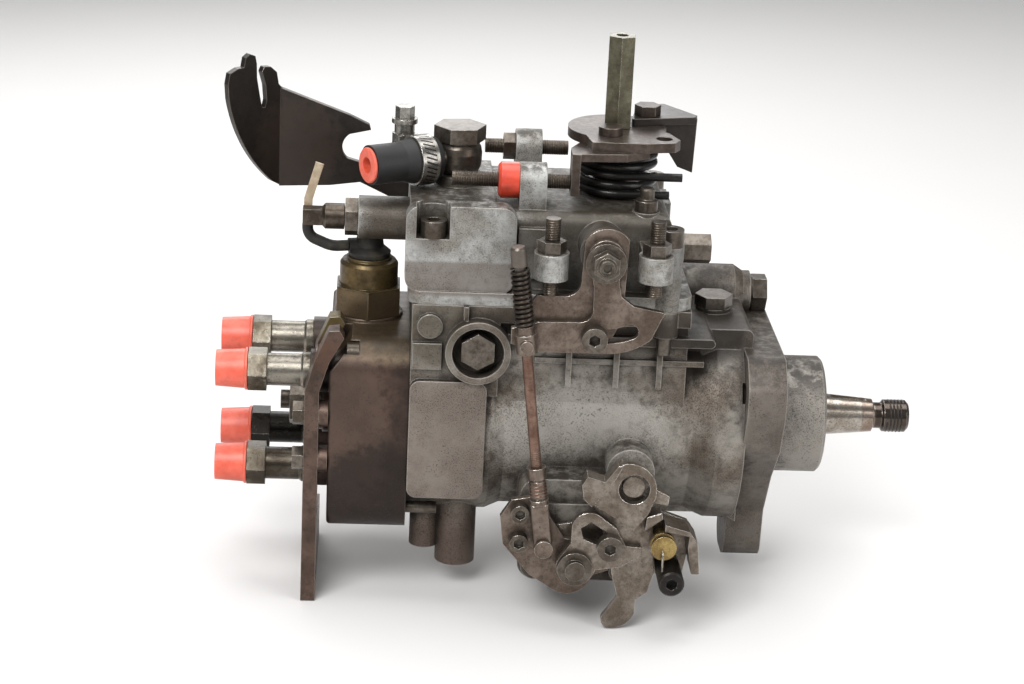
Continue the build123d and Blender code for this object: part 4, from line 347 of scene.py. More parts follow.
@dataclass(frozen=True)
class AgedMetal:
    """Metal that has run on an engine: stained and specked, bright on its edges, darkened in its corners
    with caked dirt and painted shade.

    Scales are repeats per metre; the relief, the reach of the corner darkening (dirt and painted shade)
    and the edge's radius are in millimetres; the rest are strengths from 0 to 1.
    """

    name: str
    base: str
    second: str
    grime_and_shade: str = "2b2119"
    speck: str = "1b1511"
    bright: str = "cfc9c0"
    metallic: float = 0.6
    roughness: float = 0.45
    spread: float = 0.25
    patch: float = 55.0
    grain: float = 1500.0
    relief: float = 0.12
    relief_strength: float = 0.35
    dirt_and_shade: float = 0.75
    dirt_and_shade_reach: float = 5.0
    dirt_and_shade_from: float = 0.36
    specks: float = 0.5
    speck_scale: float = 900.0
    edge: float = 0.5
    edge_radius: float = 0.5
    settled: float = 0.0
    pepper: float = 0.2
    pepper_scale: float = 2000.0
    stains_and_painted_light: tuple[LocalTint, ...] = ()

    def build(self) -> bpy.types.Material:
        """Build the material.

        Returns:
            The finished material.
        """
        g = Graph(self.name)
        broad = g.noise(self.patch, 5.0, 0.6)
        mid = g.noise(self.patch * 5.5, 6.0, 0.66)
        corner = g.crevices(self.dirt_and_shade_reach)
        colour = self.tinted(g, broad, mid)
        lying = g.calc("MULTIPLY", g.upward(), g.step(mid, 0.34, 0.56, self.settled))
        colour = g.mix(lying, colour, tone(self.grime_and_shade))
        # painted shade in corners and recesses, mixed with caked dirt, in the grime and shade colour
        dirt_and_shade = self.corner_dirt_and_shade_mask(g, mid, corner)
        colour = g.mix(dirt_and_shade, colour, tone(self.grime_and_shade))
        specks = self.speck_mask(g, broad)
        colour = g.mix(specks, colour, tone(self.speck))
        smooth, edges = g.rounded(self.edge_radius)
        wear = self.wear_mask(g, mid, corner, edges)
        colour = g.mix(wear, colour, tone(self.bright))
        uneven_gloss = g.calc("MULTIPLY", g.calc("SUBTRACT", mid, 0.5), self.spread)
        duller = g.calc("ADD", g.calc("MULTIPLY", dirt_and_shade, 0.3), g.calc("MULTIPLY", wear, -0.15))
        roughness = g.calc("ADD", g.calc("ADD", uneven_gloss, duller), self.roughness, clamp=True)
        covered = g.calc("MAXIMUM", g.calc("MAXIMUM", dirt_and_shade, lying), specks)
        metallic = g.calc("MULTIPLY", g.calc("SUBTRACT", 1.0, g.calc("MULTIPLY", covered, 0.85)),
                          self.metallic)
        fine = g.noise(self.grain, 3.0, 0.55)
        height = g.calc("SUBTRACT", g.calc("ADD", fine, g.calc("MULTIPLY", mid, 0.8)),
                        g.calc("MULTIPLY", specks, 0.5))
        normal = g.bump(height, self.relief, self.relief_strength, smooth)
        return g.finish(Base_Color=colour, Roughness=roughness, Metallic=metallic, Normal=normal)

    def tinted(self, g: Graph, broad: bpy.types.NodeSocket,
                mid: bpy.types.NodeSocket) -> bpy.types.NodeSocket:
        """Blend the two base colours in clouds and lay the local tints over them: real stains, and in
        places painted highlights and painted shade.

        Args:
            g: the material's graph.
            broad: the wide noise.
            mid: the medium noise.

        Returns:
            The tinted colour.
        """
        colour = g.mix(g.step(broad, 0.36, 0.64), tone(self.base), tone(self.second))
        cloudy = g.step(mid, 0.42, 0.72, 0.45)
        colour = g.mix(cloudy, colour, tone(self.grime_and_shade))
        # local tints: real stains, with painted highlights and painted shade in places
        for tint in self.stains_and_painted_light:
            colour = g.mix(g.zone(tint, mid), colour, tone(tint.colour))
        return colour

    def corner_dirt_and_shade_mask(self, g: Graph, mid: bpy.types.NodeSocket,
                  corner: bpy.types.NodeSocket) -> bpy.types.NodeSocket:
        """Mask the corner darkening where ambient occlusion finds corners: caked dirt together with
        painted shade.

        Args:
            g: the material's graph.
            mid: the medium noise, which breaks up its border.
            corner: how deep in a corner a point lies.

        Returns:
            The mask.
        """
        uneven = g.calc("MULTIPLY", g.calc("SUBTRACT", mid, 0.5), 0.9)
        return g.step(g.calc("ADD", corner, uneven), self.dirt_and_shade_from, self.dirt_and_shade_from + 0.34, self.dirt_and_shade)

    def speck_mask(self, g: Graph, broad: bpy.types.NodeSocket) -> bpy.types.NodeSocket:
        """Mask the corrosion specks, in fields, and the finer pepper between them.

        Args:
            g: the material's graph.
            broad: the wide noise, which thins the pepper out.

        Returns:
            The mask.
        """
        dots = g.step(g.noise(self.speck_scale, 2.0, 0.5), 0.585, 0.66)
        fields = g.step(g.noise(self.patch * 2.3, 3.0, 0.5), 0.44, 0.6)
        specks = g.calc("MULTIPLY", g.calc("MULTIPLY", dots, fields), self.specks)
        grains = g.step(g.noise(self.pepper_scale, 3.0, 0.65), 0.5, 0.64, self.pepper)
        peppered = g.calc("MULTIPLY", grains, g.step(broad, 0.3, 0.6))
        return g.calc("MAXIMUM", specks, peppered)

    def wear_mask(self, g: Graph, mid: bpy.types.NodeSocket, corner: bpy.types.NodeSocket,
                  edges: bpy.types.NodeSocket) -> bpy.types.NodeSocket:
        """Mask the bright metal on rubbed edges that no corner shelters.

        Args:
            g: the material's graph.
            mid: the medium noise, which makes the rub uneven.
            corner: how deep in a corner a point lies.
            edges: how near an edge it lies.

        Returns:
            The mask.
        """
        rubbed = g.calc("MULTIPLY", edges, g.calc("ADD", mid, 0.45))
        clean = g.calc("SUBTRACT", 1.0, g.step(corner, 0.25, 0.6))
        return g.calc("MULTIPLY", g.step(rubbed, 0.03, 0.2, self.edge), clean)


@dataclass(frozen=True)
class Rubber:
    """Black moulded rubber with dust and a soft sheen."""

    name: str
    base: str = "151413"
    dust: str = "4a443c"
    roughness: float = 0.5
    dusting: float = 0.35
    patch: float = 160.0
    grain: float = 1800.0
    edge_radius: float = 0.4

    def build(self) -> bpy.types.Material:
        """Build the material.

        Returns:
            The finished material.
        """
        g = Graph(self.name)
        cloud = g.noise(self.patch, 6.0, 0.62)
        fine = g.noise(self.grain, 2.0, 0.5)
        dusty = g.step(cloud, 0.46, 0.75, self.dusting)
        colour = g.mix(dusty, tone(self.base), tone(self.dust))
        roughness = g.calc("ADD", g.calc("MULTIPLY", cloud, 0.25), self.roughness - 0.1, clamp=True)
        smooth, _edges = g.rounded(self.edge_radius)
        normal = g.bump(g.calc("ADD", fine, cloud), 0.08, 0.3, smooth)
        return g.finish(Base_Color=colour, Roughness=roughness, Normal=normal)


@dataclass(frozen=True)
class SoftPlastic:
    """Soft moulded plastic that lets some light through."""

    name: str
    base: str
    second: str
    roughness: float
    glow: float
    soil: float
    soil_colour: str = "5a2a1e"
    glow_depth: float = 4.0
    patch: float = 120.0
    smear: float = 300.0
    grain: float = 900.0
    edge_radius: float = 0.4

    def build(self) -> bpy.types.Material:
        """Build the material.

        Returns:
            The finished material.
        """
        g = Graph(self.name)
        cloud = g.noise(self.patch, 4.0, 0.55)
        smear = g.step(g.noise(self.smear, 5.0, 0.6), 0.52, 0.74, self.soil)
        colour = g.mix(g.step(cloud, 0.35, 0.68), tone(self.base), tone(self.second))
        colour = g.mix(smear, colour, tone(self.soil_colour))
        smooth, _edges = g.rounded(self.edge_radius)
        normal = g.bump(g.noise(self.grain, 2.0, 0.5), 0.05, 0.2, smooth)
        return g.finish(Base_Color=colour, Roughness=self.roughness, Normal=normal,
                        Subsurface_Weight=self.glow, Subsurface_Scale=self.glow_depth * MM)


@dataclass(frozen=True)
class StudioPaper:
    """Plain pale backdrop."""

    name: str
    colour: Colour
    roughness: float = 0.85
    weave: float = 9.0
    shade: float = 0.97

    def build(self) -> bpy.types.Material:
        """Build the material.

        Returns:
            The finished material.
        """
        g = Graph(self.name)
        weave = g.noise(self.weave, 2.0, 0.5)
        darker = tuple(c * self.shade for c in self.colour[:3]) + (1.0,)
        colour = g.mix(weave, self.colour, darker)
        return g.finish(Base_Color=colour, Roughness=self.roughness)


Finish = AgedMetal | Rubber | SoftPlastic | StudioPaper

HOUSING = AgedMetal(
    "housing_casting", "8b867e", "665c51", grime_and_shade="261e15", metallic=0.5, roughness=0.46, patch=38.0,
    relief=0.25, relief_strength=0.6, specks=0.7, edge=0.6, edge_radius=0.9, dirt_and_shade=0.92,
    dirt_and_shade_reach=12.0, dirt_and_shade_from=0.2, settled=0.9, pepper=0.85, speck_scale=1300.0,
    stains_and_painted_light=(
        # painted highlight: a lighter patch on the near side of the barrel, where the light falls
        LocalTint("a19d96", (-84, -44, 4), (38, 16, 22), 0.7),
        LocalTint("736860", (-140, -47, 1), (17, 5, 27), 0.7, 0.3, Region.BOX, 0.2),
        LocalTint("3f3727", (-143, -42, 46), (18, 10, 14), 0.65),
        # painted shade: the underside of the housing darkened
        LocalTint("2a231b", (-95, 0, -62), (95, 70, 20), 0.85),
        LocalTint("332b22", (-75, -42, 50), (52, 8, 14), 0.85),
        LocalTint("1f1a15", (-28, -20, 48), (18, 44, 14), 0.85),
        LocalTint("8f8a83", (13, 0, 0), (12, 40, 40), 0.75, 0.2, Region.BOX, 0.1),
        LocalTint("5a514a", (-7, -30, 0), (9, 40, 60), 0.7, 0.4, Region.BOX, 0.3),
        LocalTint("6b5a50", (-138, -24, -52), (20, 20, 18), 0.6),
    ))
COVER = AgedMetal(
    "cover_casting", "a6a6a3", "817d75", grime_and_shade="2c2418", metallic=0.45, roughness=0.42, patch=50.0,
    relief=0.18, relief_strength=0.55, specks=0.65, edge=0.6, edge_radius=0.8, dirt_and_shade=0.9,
    dirt_and_shade_reach=10.0, dirt_and_shade_from=0.24, settled=0.85, pepper=0.75, speck_scale=1300.0,
    stains_and_painted_light=(
        LocalTint("6c635c", (-138, -40, 70), (24, 10, 7), 0.75, 0.25, Region.BOX, 0.1),
        LocalTint("3b342b", (-78, -38, 82), (40, 14, 22), 0.7),
        LocalTint("40382a", (-70, -10, 97), (46, 40, 10), 0.6),
        LocalTint("453b2f", (-165, -8, 84), (14, 14, 16), 0.85),
        LocalTint("4a3f35", (-150, -30, 92), (8, 20, 14), 0.6),
    ))
HEAD = AgedMetal(
    "head_browned_steel", "493830", "33261f", grime_and_shade="17110d", metallic=0.6, roughness=0.4, patch=45.0,
    relief=0.1, specks=0.55, bright="8f8378", edge=0.45, edge_radius=1.0, settled=0.5, pepper=0.5,
    stains_and_painted_light=(
        LocalTint("63553f", (-165, -20, 38), (26, 30, 9), 0.6),
        LocalTint("5b4a40", (-178, -42, 6), (14, 10, 34), 0.5),
        LocalTint("1f1713", (-166, -42, -26), (26, 12, 22), 0.8),
    ))
UNION = AgedMetal(
    "union_steel", "6f695d", "4a4236", grime_and_shade="17120d", metallic=0.9, roughness=0.3, patch=90.0,
    bright="cfc9bd", specks=0.55, edge=0.65, edge_radius=0.4, pepper=0.3,
    # painted highlight on the tops of the holders, painted shade on their undersides, darkest on the far
    # side
    stains_and_painted_light=(LocalTint("9a958b", (-205, -21, 21), (12, 12, 8), 0.6),
            LocalTint("9a958b", (-205, 21, 21), (12, 12, 8), 0.5),
            LocalTint("2b241d", (-205, -21, -21), (22, 12, 12), 0.6),
            LocalTint("0f0d0b", (-212, 21, -21), (34, 15, 15), 0.95, 0.2, Region.BOX, 0.2)))
SOLENOID = AgedMetal(
    "solenoid_plating", "625234", "463923", grime_and_shade="1d1710", metallic=0.75, roughness=0.36, patch=80.0,
    bright="b0a075", edge=0.5, relief=0.06, specks=0.6, settled=0.6, pepper=0.3,
    stains_and_painted_light=(LocalTint("6e5f4c", (-173, 0, 47), (20, 20, 6), 0.6, 0.3, Region.BOX, 0.2),))
LEVER = AgedMetal(
    "lever_plating", "776a60", "5a4d43", grime_and_shade="271e17", metallic=0.8, roughness=0.34, patch=75.0,
    bright="dcd5cb", edge=0.9, edge_radius=0.45, relief=0.08, specks=0.6, pepper=0.45)
THROTTLE = AgedMetal(
    "throttle_plating", "5c5049", "3f362f", grime_and_shade="1c1611", metallic=0.75, roughness=0.36, patch=70.0,
    bright="b9afa3", edge=0.8, edge_radius=0.45, relief=0.08, specks=0.6, settled=0.3, pepper=0.5)
COLD = AgedMetal(
    "cold_lever_plating", "8a8177", "695e53", grime_and_shade="2d241c", metallic=0.88, roughness=0.3, patch=85.0,
    bright="f0ebe4", edge=0.95, edge_radius=0.45, relief=0.07, specks=0.5, pepper=0.4)
ROD = AgedMetal(
    "rusted_rod", "7d6457", "63483c", grime_and_shade="2a1c14", metallic=0.75, roughness=0.36, patch=120.0,
    bright="b9a898", edge=0.4, specks=0.5,
    stains_and_painted_light=(LocalTint("5f5b55", (-113, -68, 82), (9, 9, 16), 0.85, 0.2, Region.BOX, 0.1),))
BOLT = AgedMetal(
    "aged_bolts", "69625a", "4c443b", grime_and_shade="1e1812", metallic=0.82, roughness=0.32, patch=110.0,
    bright="cdc6bb", edge=0.75, edge_radius=0.35, relief=0.05, specks=0.5, pepper=0.4)
SCREW = AgedMetal(
    "stop_screws", "5a5148", "3c342c", grime_and_shade="19130e", metallic=0.85, roughness=0.34, patch=120.0,
    bright="b8afa1", edge=0.65, edge_radius=0.25, relief=0.04, specks=0.4)
SPACER = AgedMetal(
    "spacer_steel", "6a6756", "4f4a3b", grime_and_shade="28231a", metallic=0.82, roughness=0.3, patch=70.0,
    bright="d6d1c4", edge=0.85, edge_radius=0.35, relief=0.04, specks=0.4, pepper=0.3)
SHAFT = AgedMetal(
    "ground_shaft", "b3aea6", "938a7f", grime_and_shade="4c3a2d", metallic=0.95, roughness=0.2, patch=90.0,
    bright="efeae3", edge=0.5, relief=0.02, specks=0.4, pepper=0.25,
    stains_and_painted_light=(LocalTint("3a2f28", (54.5, 0, 0), (8.2, 12, 12), 0.9, 0.2, Region.BOX, 0.1),
            LocalTint("6d4f3b", (43, 0, 0), (2.6, 12, 12), 0.5, 0.4, Region.BOX, 0.4)))
GEARS = AgedMetal(
    "hardened_steel", "77746f", "63605b", metallic=0.9, roughness=0.32, relief=0.03, specks=0.2,
    edge=0.5, grime_and_shade="2a251f")
SUPPORT = AgedMetal(
    "rusty_bracket", "5c4a40", "43342b", grime_and_shade="211811", metallic=0.6, roughness=0.42, patch=55.0,
    bright="a89c90", edge=0.75, edge_radius=0.6, relief=0.14, specks=0.75, pepper=0.6,
    stains_and_painted_light=(LocalTint("7a6c3e", (-187, -20, 40), (6, 8, 8), 0.55),
            LocalTint("53392c", (-187, -35, 34), (8, 10, 12), 0.6)))
FIN = AgedMetal(
    "dark_bracket", "2a2420", "1c1815", grime_and_shade="0f0d0b", metallic=0.5, roughness=0.34, patch=45.0,
    bright="8f8478", edge=0.75, edge_radius=0.6, relief=0.07, specks=0.5, pepper=0.4,
    stains_and_painted_light=(LocalTint("3b2f27", (-205, 44, 100), (18, 20, 22), 0.5),))
CLAMP = AgedMetal(
    "clamp_band", "9b9993", "7b7770", grime_and_shade="2d2620", metallic=0.92, roughness=0.26, patch=120.0,
    bright="e6e2da", edge=0.75, edge_radius=0.3, relief=0.03, specks=0.45)
SPRING = AgedMetal(
    "black_spring", "161514", "201d1b", grime_and_shade="0a0908", metallic=0.3, roughness=0.3, patch=110.0,
    bright="6d665d", edge=0.2, relief=0.03, specks=0.2)
LINK_SPRING = AgedMetal(
    "dark_link_spring", "40372f", "2d2620", grime_and_shade="1a1410", metallic=0.8, roughness=0.34, patch=150.0,
    bright="9a9186", edge=0.4, relief=0.02, specks=0.3)
BRASS = AgedMetal(
    "brass_stop", "ab9460", "857047", grime_and_shade="3a2c16", metallic=0.92, roughness=0.28, patch=120.0,
    bright="ecd9a6", edge=0.6, edge_radius=0.3, relief=0.03, specks=0.3)
BLACKENED = AgedMetal(
    "blackened_pin", "2a2725", "1d1a18", grime_and_shade="100e0c", metallic=0.7, roughness=0.35, patch=120.0,
    bright="8f877d", edge=0.6, edge_radius=0.35, relief=0.03, specks=0.3)
HOSE = Rubber("hose_rubber", "0d0c0c", "2b2722", 0.55, 0.2)
BOOT = Rubber("boot_rubber", "15130f", "4a4335", 0.6, 0.5)
CAPS = SoftPlastic("cap_plastic", "dc6854", "cb523b", 0.4, 0.5, 0.25)
COLLAR = SoftPlastic("collar_plastic", "c9452f", "ad3825", 0.32, 0.15, 0.35)
STRIP = SoftPlastic("strip_plastic", "aea28b", "93866f", 0.5, 0.15, 0.35)
PAPER = StudioPaper("pale_paper", (0.66, 0.65, 0.64, 1.0))


class Bench:
    """Makes pieces as meshes in place, dresses them and hangs them on the model's bodies."""

    def __init__(self, frame: dict) -> None:
        """Take over the loaded frame.
        """
        self.nodes: dict[str, bpy.types.Object] = frame["nodes"]
        self.finishes: dict[str, bpy.types.Material] = {}
        self.dressed: set[str] = set()

    def material(self, finish: Finish) -> bpy.types.Material:
        """Build a finish once and keep it.

        Args:
            finish: the finish wanted.

        Returns:
            Its material.
        """
        if finish.name not in self.finishes:
            self.finishes[finish.name] = finish.build()
        return self.finishes[finish.name]

    def dress(self, finish: Finish, *names: str) -> None:
        """Give model nodes their finish.

        Args:
            finish: the finish.
            *names: the nodes that take it.
        """
        for name in names:
            for slot in self.nodes[name].material_slots:
                slot.material = self.material(finish)
            self.dressed.add(name)
            LOG.info("dressed %s with %s", name, finish.name)

    def piece(self, name: str, bm: bmesh.types.BMesh, finish: Finish, body: str, slot: str,
              smooth: bool = True, stands_for: Iterable[str] = ()) -> None:
        """Turn a mesh into a piece that moves with a body.

        Args:
            name: the piece's name.
            bm: its mesh, in place, which is freed.
            finish: its finish.
            body: the body it moves with.
            slot: the record's material slot meant for it; not used.
            smooth: whether curved faces are shaded smooth.
            stands_for: model nodes that the piece replaces.
        """
        bmesh.ops.recalc_face_normals(bm, faces=bm.faces)
        mesh = bpy.data.meshes.new(name)
        bm.to_mesh(mesh)
        bm.free()
        if smooth:
            mesh.shade_smooth()
            mesh.set_sharp_from_angle(angle=CREASE)
        made = bpy.data.objects.new(name, mesh)
        bpy.context.scene.collection.objects.link(made)
        mesh.materials.append(self.material(finish))
        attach(made, body)
        for node in stands_for:
            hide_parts(node)
            self.dressed.add(node)
        LOG.info("made %s on %s, %d faces", name, body, len(mesh.polygons))

    def left_bare(self) -> list[str]:
        """The model nodes that have no finish yet."""
        return sorted(set(self.nodes) - self.dressed)


def across(axis: Vector) -> Vector:
    """A unit vector at right angles to an axis.

    Args:
        axis: the axis.

    Returns:
        A unit vector perpendicular to it.
    """
    other = Vector((0, 0, 1)) if abs(axis.z) < 0.9 else Vector((0, 1, 0))
    return axis.cross(other).normalized()


def add_coil(bm: bmesh.types.BMesh, start: Vector, axis: Vector, radius: float, wire: float,
             turns: float, rise: float, first: Vector, sides: int, steps: int) -> None:
    """Wind a round wire into a helix.

    Args:
        bm: the mesh to add to.
        start: the centre of the first turn.
        axis: the coil's unit axis.
        radius: radius of the wire's centre line.
        wire: radius of the wire.
        turns: number of turns.
        rise: length of the coil along its axis.
        first: unit direction of the wire's start from the axis.
        sides: sides of the wire's section.
        steps: sections in each turn.
    """
    tangent = axis.cross(first).normalized()
    frame = Matrix((first, axis, -tangent)).transposed().to_4x4()
    place = Matrix.Translation(start + first * radius) @ frame
    ring = bmesh.ops.create_circle(bm, cap_ends=True, radius=wire, segments=sides, matrix=place)
    faces = {face for vert in ring["verts"] for face in vert.link_faces}
    count = max(2, round(turns * steps))
    bmesh.ops.spin(bm, geom=list(faces) + list({e for f in faces for e in f.edges}), cent=start,
                   axis=axis, dvec=axis * (rise / count), angle=math.tau * turns, steps=count,
                   use_duplicate=False)


def add_thread(bm: bmesh.types.BMesh, start: Vector, axis: Vector, radius: float, length: float,
               pitch: float, depth: float) -> None:
    """Wind a thread's ridge round a cylinder.

    Args:
        bm: the mesh to add to.
        start: the point on the axis where the thread starts.
        axis: the screw's unit axis.
        radius: radius of the cylinder under the ridge.
        length: threaded length.
        pitch: rise in each turn.
        depth: height of the ridge.
    """
    out = across(axis)
    foot = radius - depth * 0.4
    profile = ((foot, 0.08), (radius + depth, 0.5), (foot, 0.92))
    verts = [bm.verts.new(start + out * reach + axis * (pitch * share)) for reach, share in profile]
    face = bm.faces.new(verts)
    turns = max(1.0, (length - pitch) / pitch)
    count = round(turns * THREAD_STEPS)
    bmesh.ops.spin(bm, geom=[face] + list(face.edges), cent=start, axis=axis,
                   dvec=axis * (turns * pitch / count), angle=math.tau * turns, steps=count,
                   use_duplicate=False)


def add_lathe(bm: bmesh.types.BMesh, origin: Vector, axis: Vector,
              outline: Sequence[tuple[float, float]], steps: int = 40) -> None:
    """Spin an outline of (radius, height) points about an axis.

    Args:
        bm: the mesh to add to.
        origin: the axis's zero height.
        axis: the unit axis.
        outline: the points, in metres.
        steps: facets round the axis.
    """
    out = across(axis)
    verts = [bm.verts.new(origin + out * radius + axis * height) for radius, height in outline]
    edges = [bm.edges.new(pair) for pair in zip(verts, verts[1:])]
    bmesh.ops.spin(bm, geom=verts + edges, cent=origin, axis=axis, angle=math.tau, steps=steps,
                   use_merge=True, use_duplicate=False)
    bmesh.ops.remove_doubles(bm, verts=bm.verts, dist=1e-6)


def add_tube(bm: bmesh.types.BMesh, path: Sequence[Vector], radius: float, sides: int) -> None:
    """Sweep a round section along a few points.

    Args:
        bm: the mesh to add to.
        path: the centre line.
        radius: radius of the section.
        sides: sides of the section.
    """
    rings: list[list[bmesh.types.BMEdge]] = []
    for index, point in enumerate(path):
        ahead = path[min(index + 1, len(path) - 1)] - path[max(index - 1, 0)]
        along = ahead.normalized()
        side = across(along)
        frame = Matrix((side, along.cross(side), along)).transposed().to_4x4()
        place = Matrix.Translation(point) @ frame
        made = bmesh.ops.create_circle(bm, cap_ends=index in (0, len(path) - 1), radius=radius,
                                       segments=sides, matrix=place)
        verts = set(made["verts"])
        rings.append([edge for edge in bm.edges if verts.issuperset(edge.verts)])
    for lower, upper in zip(rings, rings[1:]):
        bmesh.ops.bridge_loops(bm, edges=lower + upper)


@dataclass
class CastBody:
    """The castings: housing, governor cover, distributor head and timing covers."""

    bench: Bench

    def build(self) -> None:
        """Dress the castings."""
        self.bench.dress(HOUSING, "pump_housing", "timing_covers")
        self.bench.dress(COVER, "governor_cover")
        self.bench.dress(HEAD, "distributor_head")


@dataclass
class DriveTrain:
    """The drive shaft and everything that turns inside."""

    bench: Bench
    thread_start: float = 51.0
    thread_length: float = 8.7
    thread_radius: float = 6.95
    thread_depth: float = 0.22
    pitch: float = 1.5

    def build(self) -> None:
        """Dress the shaft and the inner pieces, and cut the shaft's thread."""
        self.bench.dress(SHAFT, "drive_shaft")
        self.bench.dress(GEARS, "drive_gear", "pump_rotor", "cam_plate", "plunger", "governor_cage",
                         "roller_ring", "timing_piston", "governor_lever", "control_collar",
                         "cam_ring", "governor_shaft")
        bm = bmesh.new()
        add_thread(bm, mm(self.thread_start, 0, 0), Vector((1, 0, 0)), self.thread_radius * MM,
                   self.thread_length * MM, self.pitch * MM, self.thread_depth * MM)
        self.bench.piece("shaft_thread", bm, BLACKENED, "drive", "bright_steel")


@dataclass
class FuelLines:
    """Outlet unions with their caps, the inlet, and the return hose with its clamp."""

    bench: Bench
    banjo: Point = (-137.0, 0.0, 110.0)
    hose_dir: Point = (-0.88, -0.475, 0.0)
    band_r: float = 10.4
    clamp_at: float = 18.5
    slots: int = 33
    slot_lean: tuple[float, float] = (0.94, 0.34)
    slot_size: Point = (5.2, 0.75, 0.16)
    slot_sunk: float = 0.02
    slot_round: float = 0.04

    def build(self) -> None:
        """Dress the lines and mark the clamp band's slots."""
        self.bench.dress(UNION, "valve_holders")
        self.bench.dress(CAPS, "port_caps", "hose_plug")
        self.bench.dress(BOLT, "inlet_union", "return_banjo", "return_bolt")
        self.bench.dress(HOSE, "return_hose")
        self.bench.dress(CLAMP, "hose_clamp")
        self.band_slots()

    def band_slots(self) -> None:
        """Lay the row of worm slots round the clamp band as thin dark bars."""
        along = Vector(self.hose_dir).normalized()
        centre = mm(*self.banjo) + along * (self.clamp_at * MM)
        out = across(along)
        side = along.cross(out)
        radius = self.band_r * MM
        forward, sideways = self.slot_lean
        size = Matrix.Diagonal((*(length * MM for length in self.slot_size), 1.0))
        bm = bmesh.new()
        for index in range(self.slots):
            angle = math.tau * index / self.slots
            outward = out * math.cos(angle) + side * math.sin(angle)
            around = along.cross(outward)
            lean = (along * forward + around * sideways).normalized()
            frame = Matrix((lean, outward.cross(lean), outward)).transposed().to_4x4()
            place = Matrix.Translation(centre + outward * (radius - self.slot_sunk * MM)) @ frame
            bmesh.ops.create_cube(bm, size=1.0, matrix=place @ size)
        bmesh.ops.bevel(bm, geom=list(bm.edges), offset=self.slot_round * MM, affect="EDGES",
                        segments=1, profile=0.5, material=-1)
        self.bench.piece("clamp_slots", bm, BLACKENED, "housing", "clamp_steel", smooth=False)


@dataclass
class StopSolenoid:
    """The fuel shut-off: shell, rubber boot, sleeved wire and marker strip."""

    bench: Bench

    def build(self) -> None:
        """Dress the solenoid and its wire."""
        self.bench.dress(SOLENOID, "stop_solenoid")
        self.bench.dress(BOOT, "solenoid_boot", "solenoid_lead")
        self.bench.dress(STRIP, "lead_strip")


@dataclass
class ThrottleGear:
    """The throttle lever, its return spring, bracket, spacer and stops."""

    bench: Bench
    post: tuple[float, float] = (-72.0, 0.0)
    coil_r: float = 16.0
    wire_r: float = 1.75
    wire_sides: int = 16
    coil_steps: int = 36
    coils: tuple[tuple[float, float, float], ...] = ((115.1, 107.8, 2.06), (104.9, 100.1, 1.35))
    leg_ends: tuple[float, ...] = (-45.5, -50.5)

    def build(self) -> None:
        """Dress the levers and wind the return spring."""
        self.bench.dress(THROTTLE, "throttle_lever", "throttle_bolts", "throttle_shaft")
        self.bench.dress(FIN, "throttle_bracket")
        self.bench.dress(SPACER, "hex_spacer")
        self.bench.dress(BOLT, "spring_post")
        self.return_spring()

    def return_spring(self) -> None:
        """Wind the two stacked coils down to the near side, where each leaves in a straight leg."""
        axis = Vector((0, 0, 1))
        near = Vector((0, -1, 0))
        along, across_pump = self.post
        side = across_pump - self.coil_r
        bm = bmesh.new()
        for (high, low, turns), end in zip(self.coils, self.leg_ends):
            first = Matrix.Rotation(-math.tau * turns, 3, "Z") @ near
            add_coil(bm, mm(along, across_pump, high), axis, self.coil_r * MM, self.wire_r * MM,
                     turns, (low - high) * MM, first, self.wire_sides, self.coil_steps)
            add_tube(bm, [mm(along, side, low), mm(end, side, low)], self.wire_r * MM,
                     self.wire_sides)
        self.bench.piece("throttle_coil", bm, SPRING, "housing", "spring_steel",
                         stands_for=("throttle_spring",))


@dataclass(frozen=True)
class RodThread:
    """One threaded stretch on the link rod, in millimetres from the rod's foot."""

    start: float
    radius: float
    length: float
    pitch: float
    depth: float


